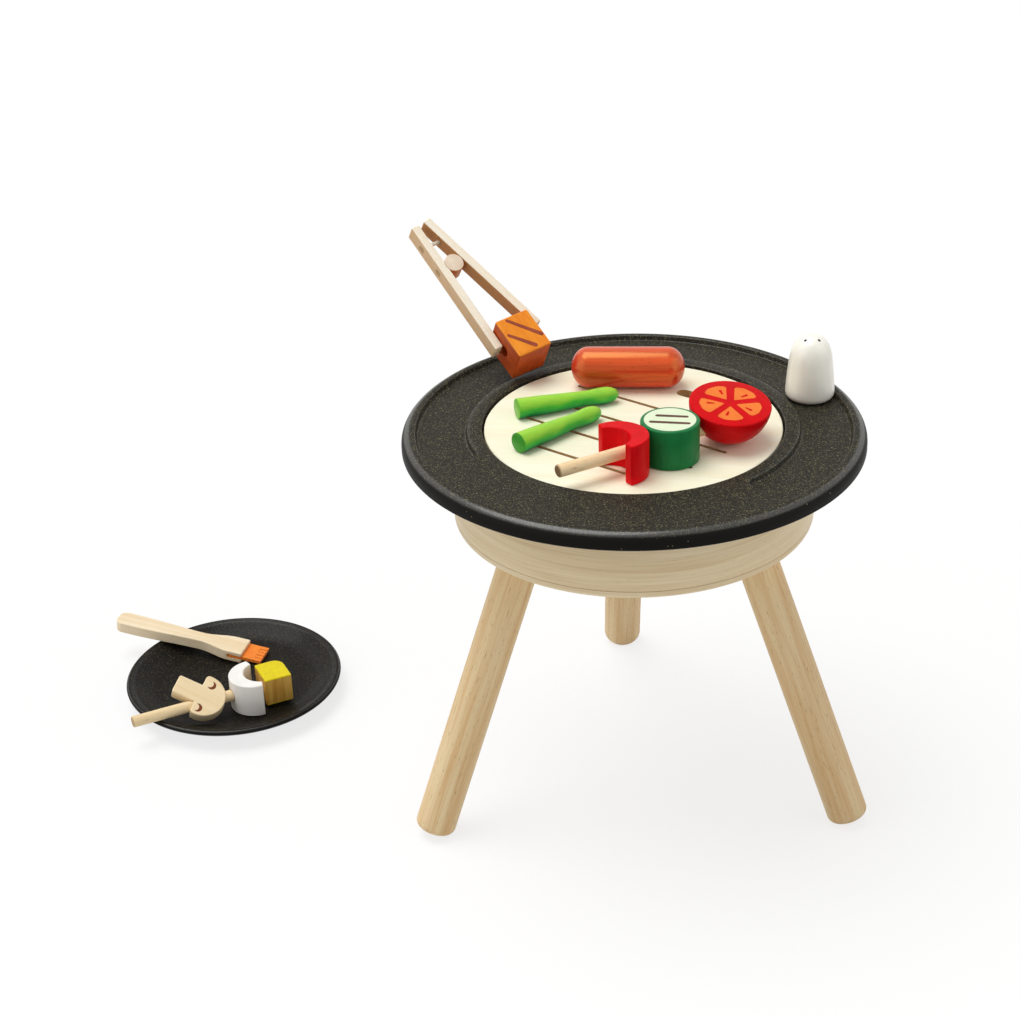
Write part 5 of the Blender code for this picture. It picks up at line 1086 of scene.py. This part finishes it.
# ---- Skewer on the plate
# A beech dowel through a slice of mushroom, half an onion and into a block of yellow pepper. The mushroom is
# bare sawn wood, the onion is painted white but for its hole, and the block is painted on its flat faces.
ONION_RADIUS, ONION_HOLLOW_RADIUS, ONION_HOLLOW_SHIFT, ONION_HEIGHT = 0.021, 0.0153, 0.007, 0.0288
ONION_OUTER_END, ONION_INNER_END, HOLE_RAG = 92, 72, 0.0004
BLOCK_DEPTH, BLOCK_WIDTH, BLOCK_HEIGHT, BLOCK_CORNER, BLOCK_EDGE = 0.023, 0.0277, 0.0246, 0.009, 0.001
CAP_RADIUS, CAP_UNDER, CAP_FILLET, MUSHROOM_THICKNESS = 0.0181, 0.0048, 0.003, 0.0125
STEM_WIDTH, STEM_LENGTH, STEM_FILLET = 0.0162, 0.0251, 0.002
CRESCENTS = ((0.0022, 0.0108, -20), (0.0002, -0.0120, 5))
plate_skewer = seat(plate_place, (-0.0836, -0.0676, 0.0232), (0, 0, 16.7))
onion_place = seat(plate_skewer, (0.1054, 0.0014, 0), (0, 0, 180))
block_place = seat(plate_skewer, (0.1222, 0.0024, 0))
mushroom_place = seat(seat(plate_skewer, (0, 0, 0), (36, 0, 0)), (0.0611, 0.0039, 0), (0, 0, -42.8))

stick = form("plate_skewer_dowel", rod(STICK_RADIUS, 0, STICK_LENGTH, STICK_CHAMFER, 40), plate_skewer)
dowel = plain_wood("beech_dowel_plate", plate_skewer, "#F8E2B8", "#E8C896", "#A98456", 0.4,
                   sides=[((-1, 0, 0), "#B4A48C")])
dress(stick, "plate_skewer", "natural_wood", dowel, "plate_skewer_stick")


def stick_hole(tree, spot):
    """Mark out the stick's hole, which is drilled after the painting, with its rough rim."""
    away = off_axis(tree, spot, (0, 1, 1))
    return add_node(tree, "Math", {0: away, 1: STICK_HOLE_RADIUS + HOLE_RAG}, operation="LESS_THAN")


# A white wash that covers well and leaves the wood smooth, with bare wood in the hole
bm = half_ring(ONION_RADIUS, ONION_HOLLOW_RADIUS, ONION_HOLLOW_SHIFT, ONION_OUTER_END, ONION_INNER_END,
               ONION_HEIGHT)
onion = form("half_onion", bm, onion_place, FOOD_EDGE, [stick_drill(plate_skewer, 0, STICK_LENGTH)])
wash = paint("white_wash_on_wood", onion_place, "#FCFAF6", "#F3F1EC", 0.45, 2, 0.1)
repaint(wash, plate_skewer, "#A87444", stick_hole)
dress(onion, "onion", "white_paint", wash, "onion")

depth, width, height = BLOCK_DEPTH / 2, BLOCK_WIDTH / 2, BLOCK_HEIGHT / 2
corners = [(-depth, -width, BLOCK_EDGE), (depth, -width, BLOCK_EDGE), (depth, width, BLOCK_CORNER),
           (-depth, width, BLOCK_EDGE)]
block = form("yellow_pepper_block", extruded(rounded(corners, 10), -height, height), block_place, FOOD_EDGE,
             [stick_drill(plate_skewer, 0, STICK_LENGTH + 0.02)])

# Yellow paint on the top and bottom, and a thin yellow wash over grain on the sides
yellow, tree, shader, spot = start_material("yellow_paint_on_wood", block_place, {
    "Roughness": 0.42, "Specular IOR Level": 0.2})
fibres, _, sides, top = two_scales(
    tree, spot, ((0.005, 0.005, 0.08), 2.0), ((0.0009, 0.0009, 0.030), 3.0), 0.6,
    ((0.32, "#C08834"), (0.62, "#E2B85E")), ((0.3, "#DCC404"), (0.6, "#EBD80C")))
rise = add_node(tree, "SeparateXYZ", {0: spot}).outputs["Z"]
lift = add_node(tree, "Math", {0: rise}, operation="ABSOLUTE")
above = add_node(tree, "MapRange", {"Value": lift, "From Min": height - 0.0016, "From Max": height - 0.0007})
mixed = add_node(tree, "Mix", {0: above, 6: sides, 7: top}, data_type="RGBA")
cover(shader, mixed, fibres, 0.2)
dress(block, "yellow_pepper", "yellow_paint", yellow, "yellow_pepper")

half_stem, half = STEM_WIDTH / 2, MUSHROOM_THICKNESS / 2
under = [(-CAP_UNDER, CAP_RADIUS, CAP_FILLET), (-CAP_UNDER, half_stem, 0),
         (-STEM_LENGTH, half_stem, STEM_FILLET)]
corners = [(x, y, 0) for x, y in arc(0, 0, CAP_RADIUS, -90, 90, 48)]
corners += under + [(x, -y, radius) for x, y, radius in reversed(under)]
mushroom = form("mushroom_slice", extruded(rounded(corners), -half, half), mushroom_place, FOOD_EDGE,
                [stick_drill(plate_skewer, 0, STICK_LENGTH)])
mushroom_wood = plain_wood("sawn_beech_mushroom", mushroom_place, "#FCE8C0", "#F2D6A6", "#C49A66", 0.15)
dress(mushroom, "mushroom", "natural_wood", mushroom_wood, "mushroom")

# Two brown crescents printed on the cap
crescent_ink = paint("chestnut_ink", mushroom_place, "#7C3E20", "#6A3018", 0.5, 0, 0.05)
crescent = arc(0, 0, 0.0036, -120, 120, 20) + arc(-0.0021, 0, 0.0031, 92, -92, 20)
for number, (x, y, angle) in enumerate(CRESCENTS):
    place = seat(mushroom_place, (x, y, 0), (0, 0, angle))
    crescent_print = printed("mushroom_crescent_print_" + str(number), crescent, place, half)
    dress(crescent_print, "mushroom", "natural_wood", crescent_ink)
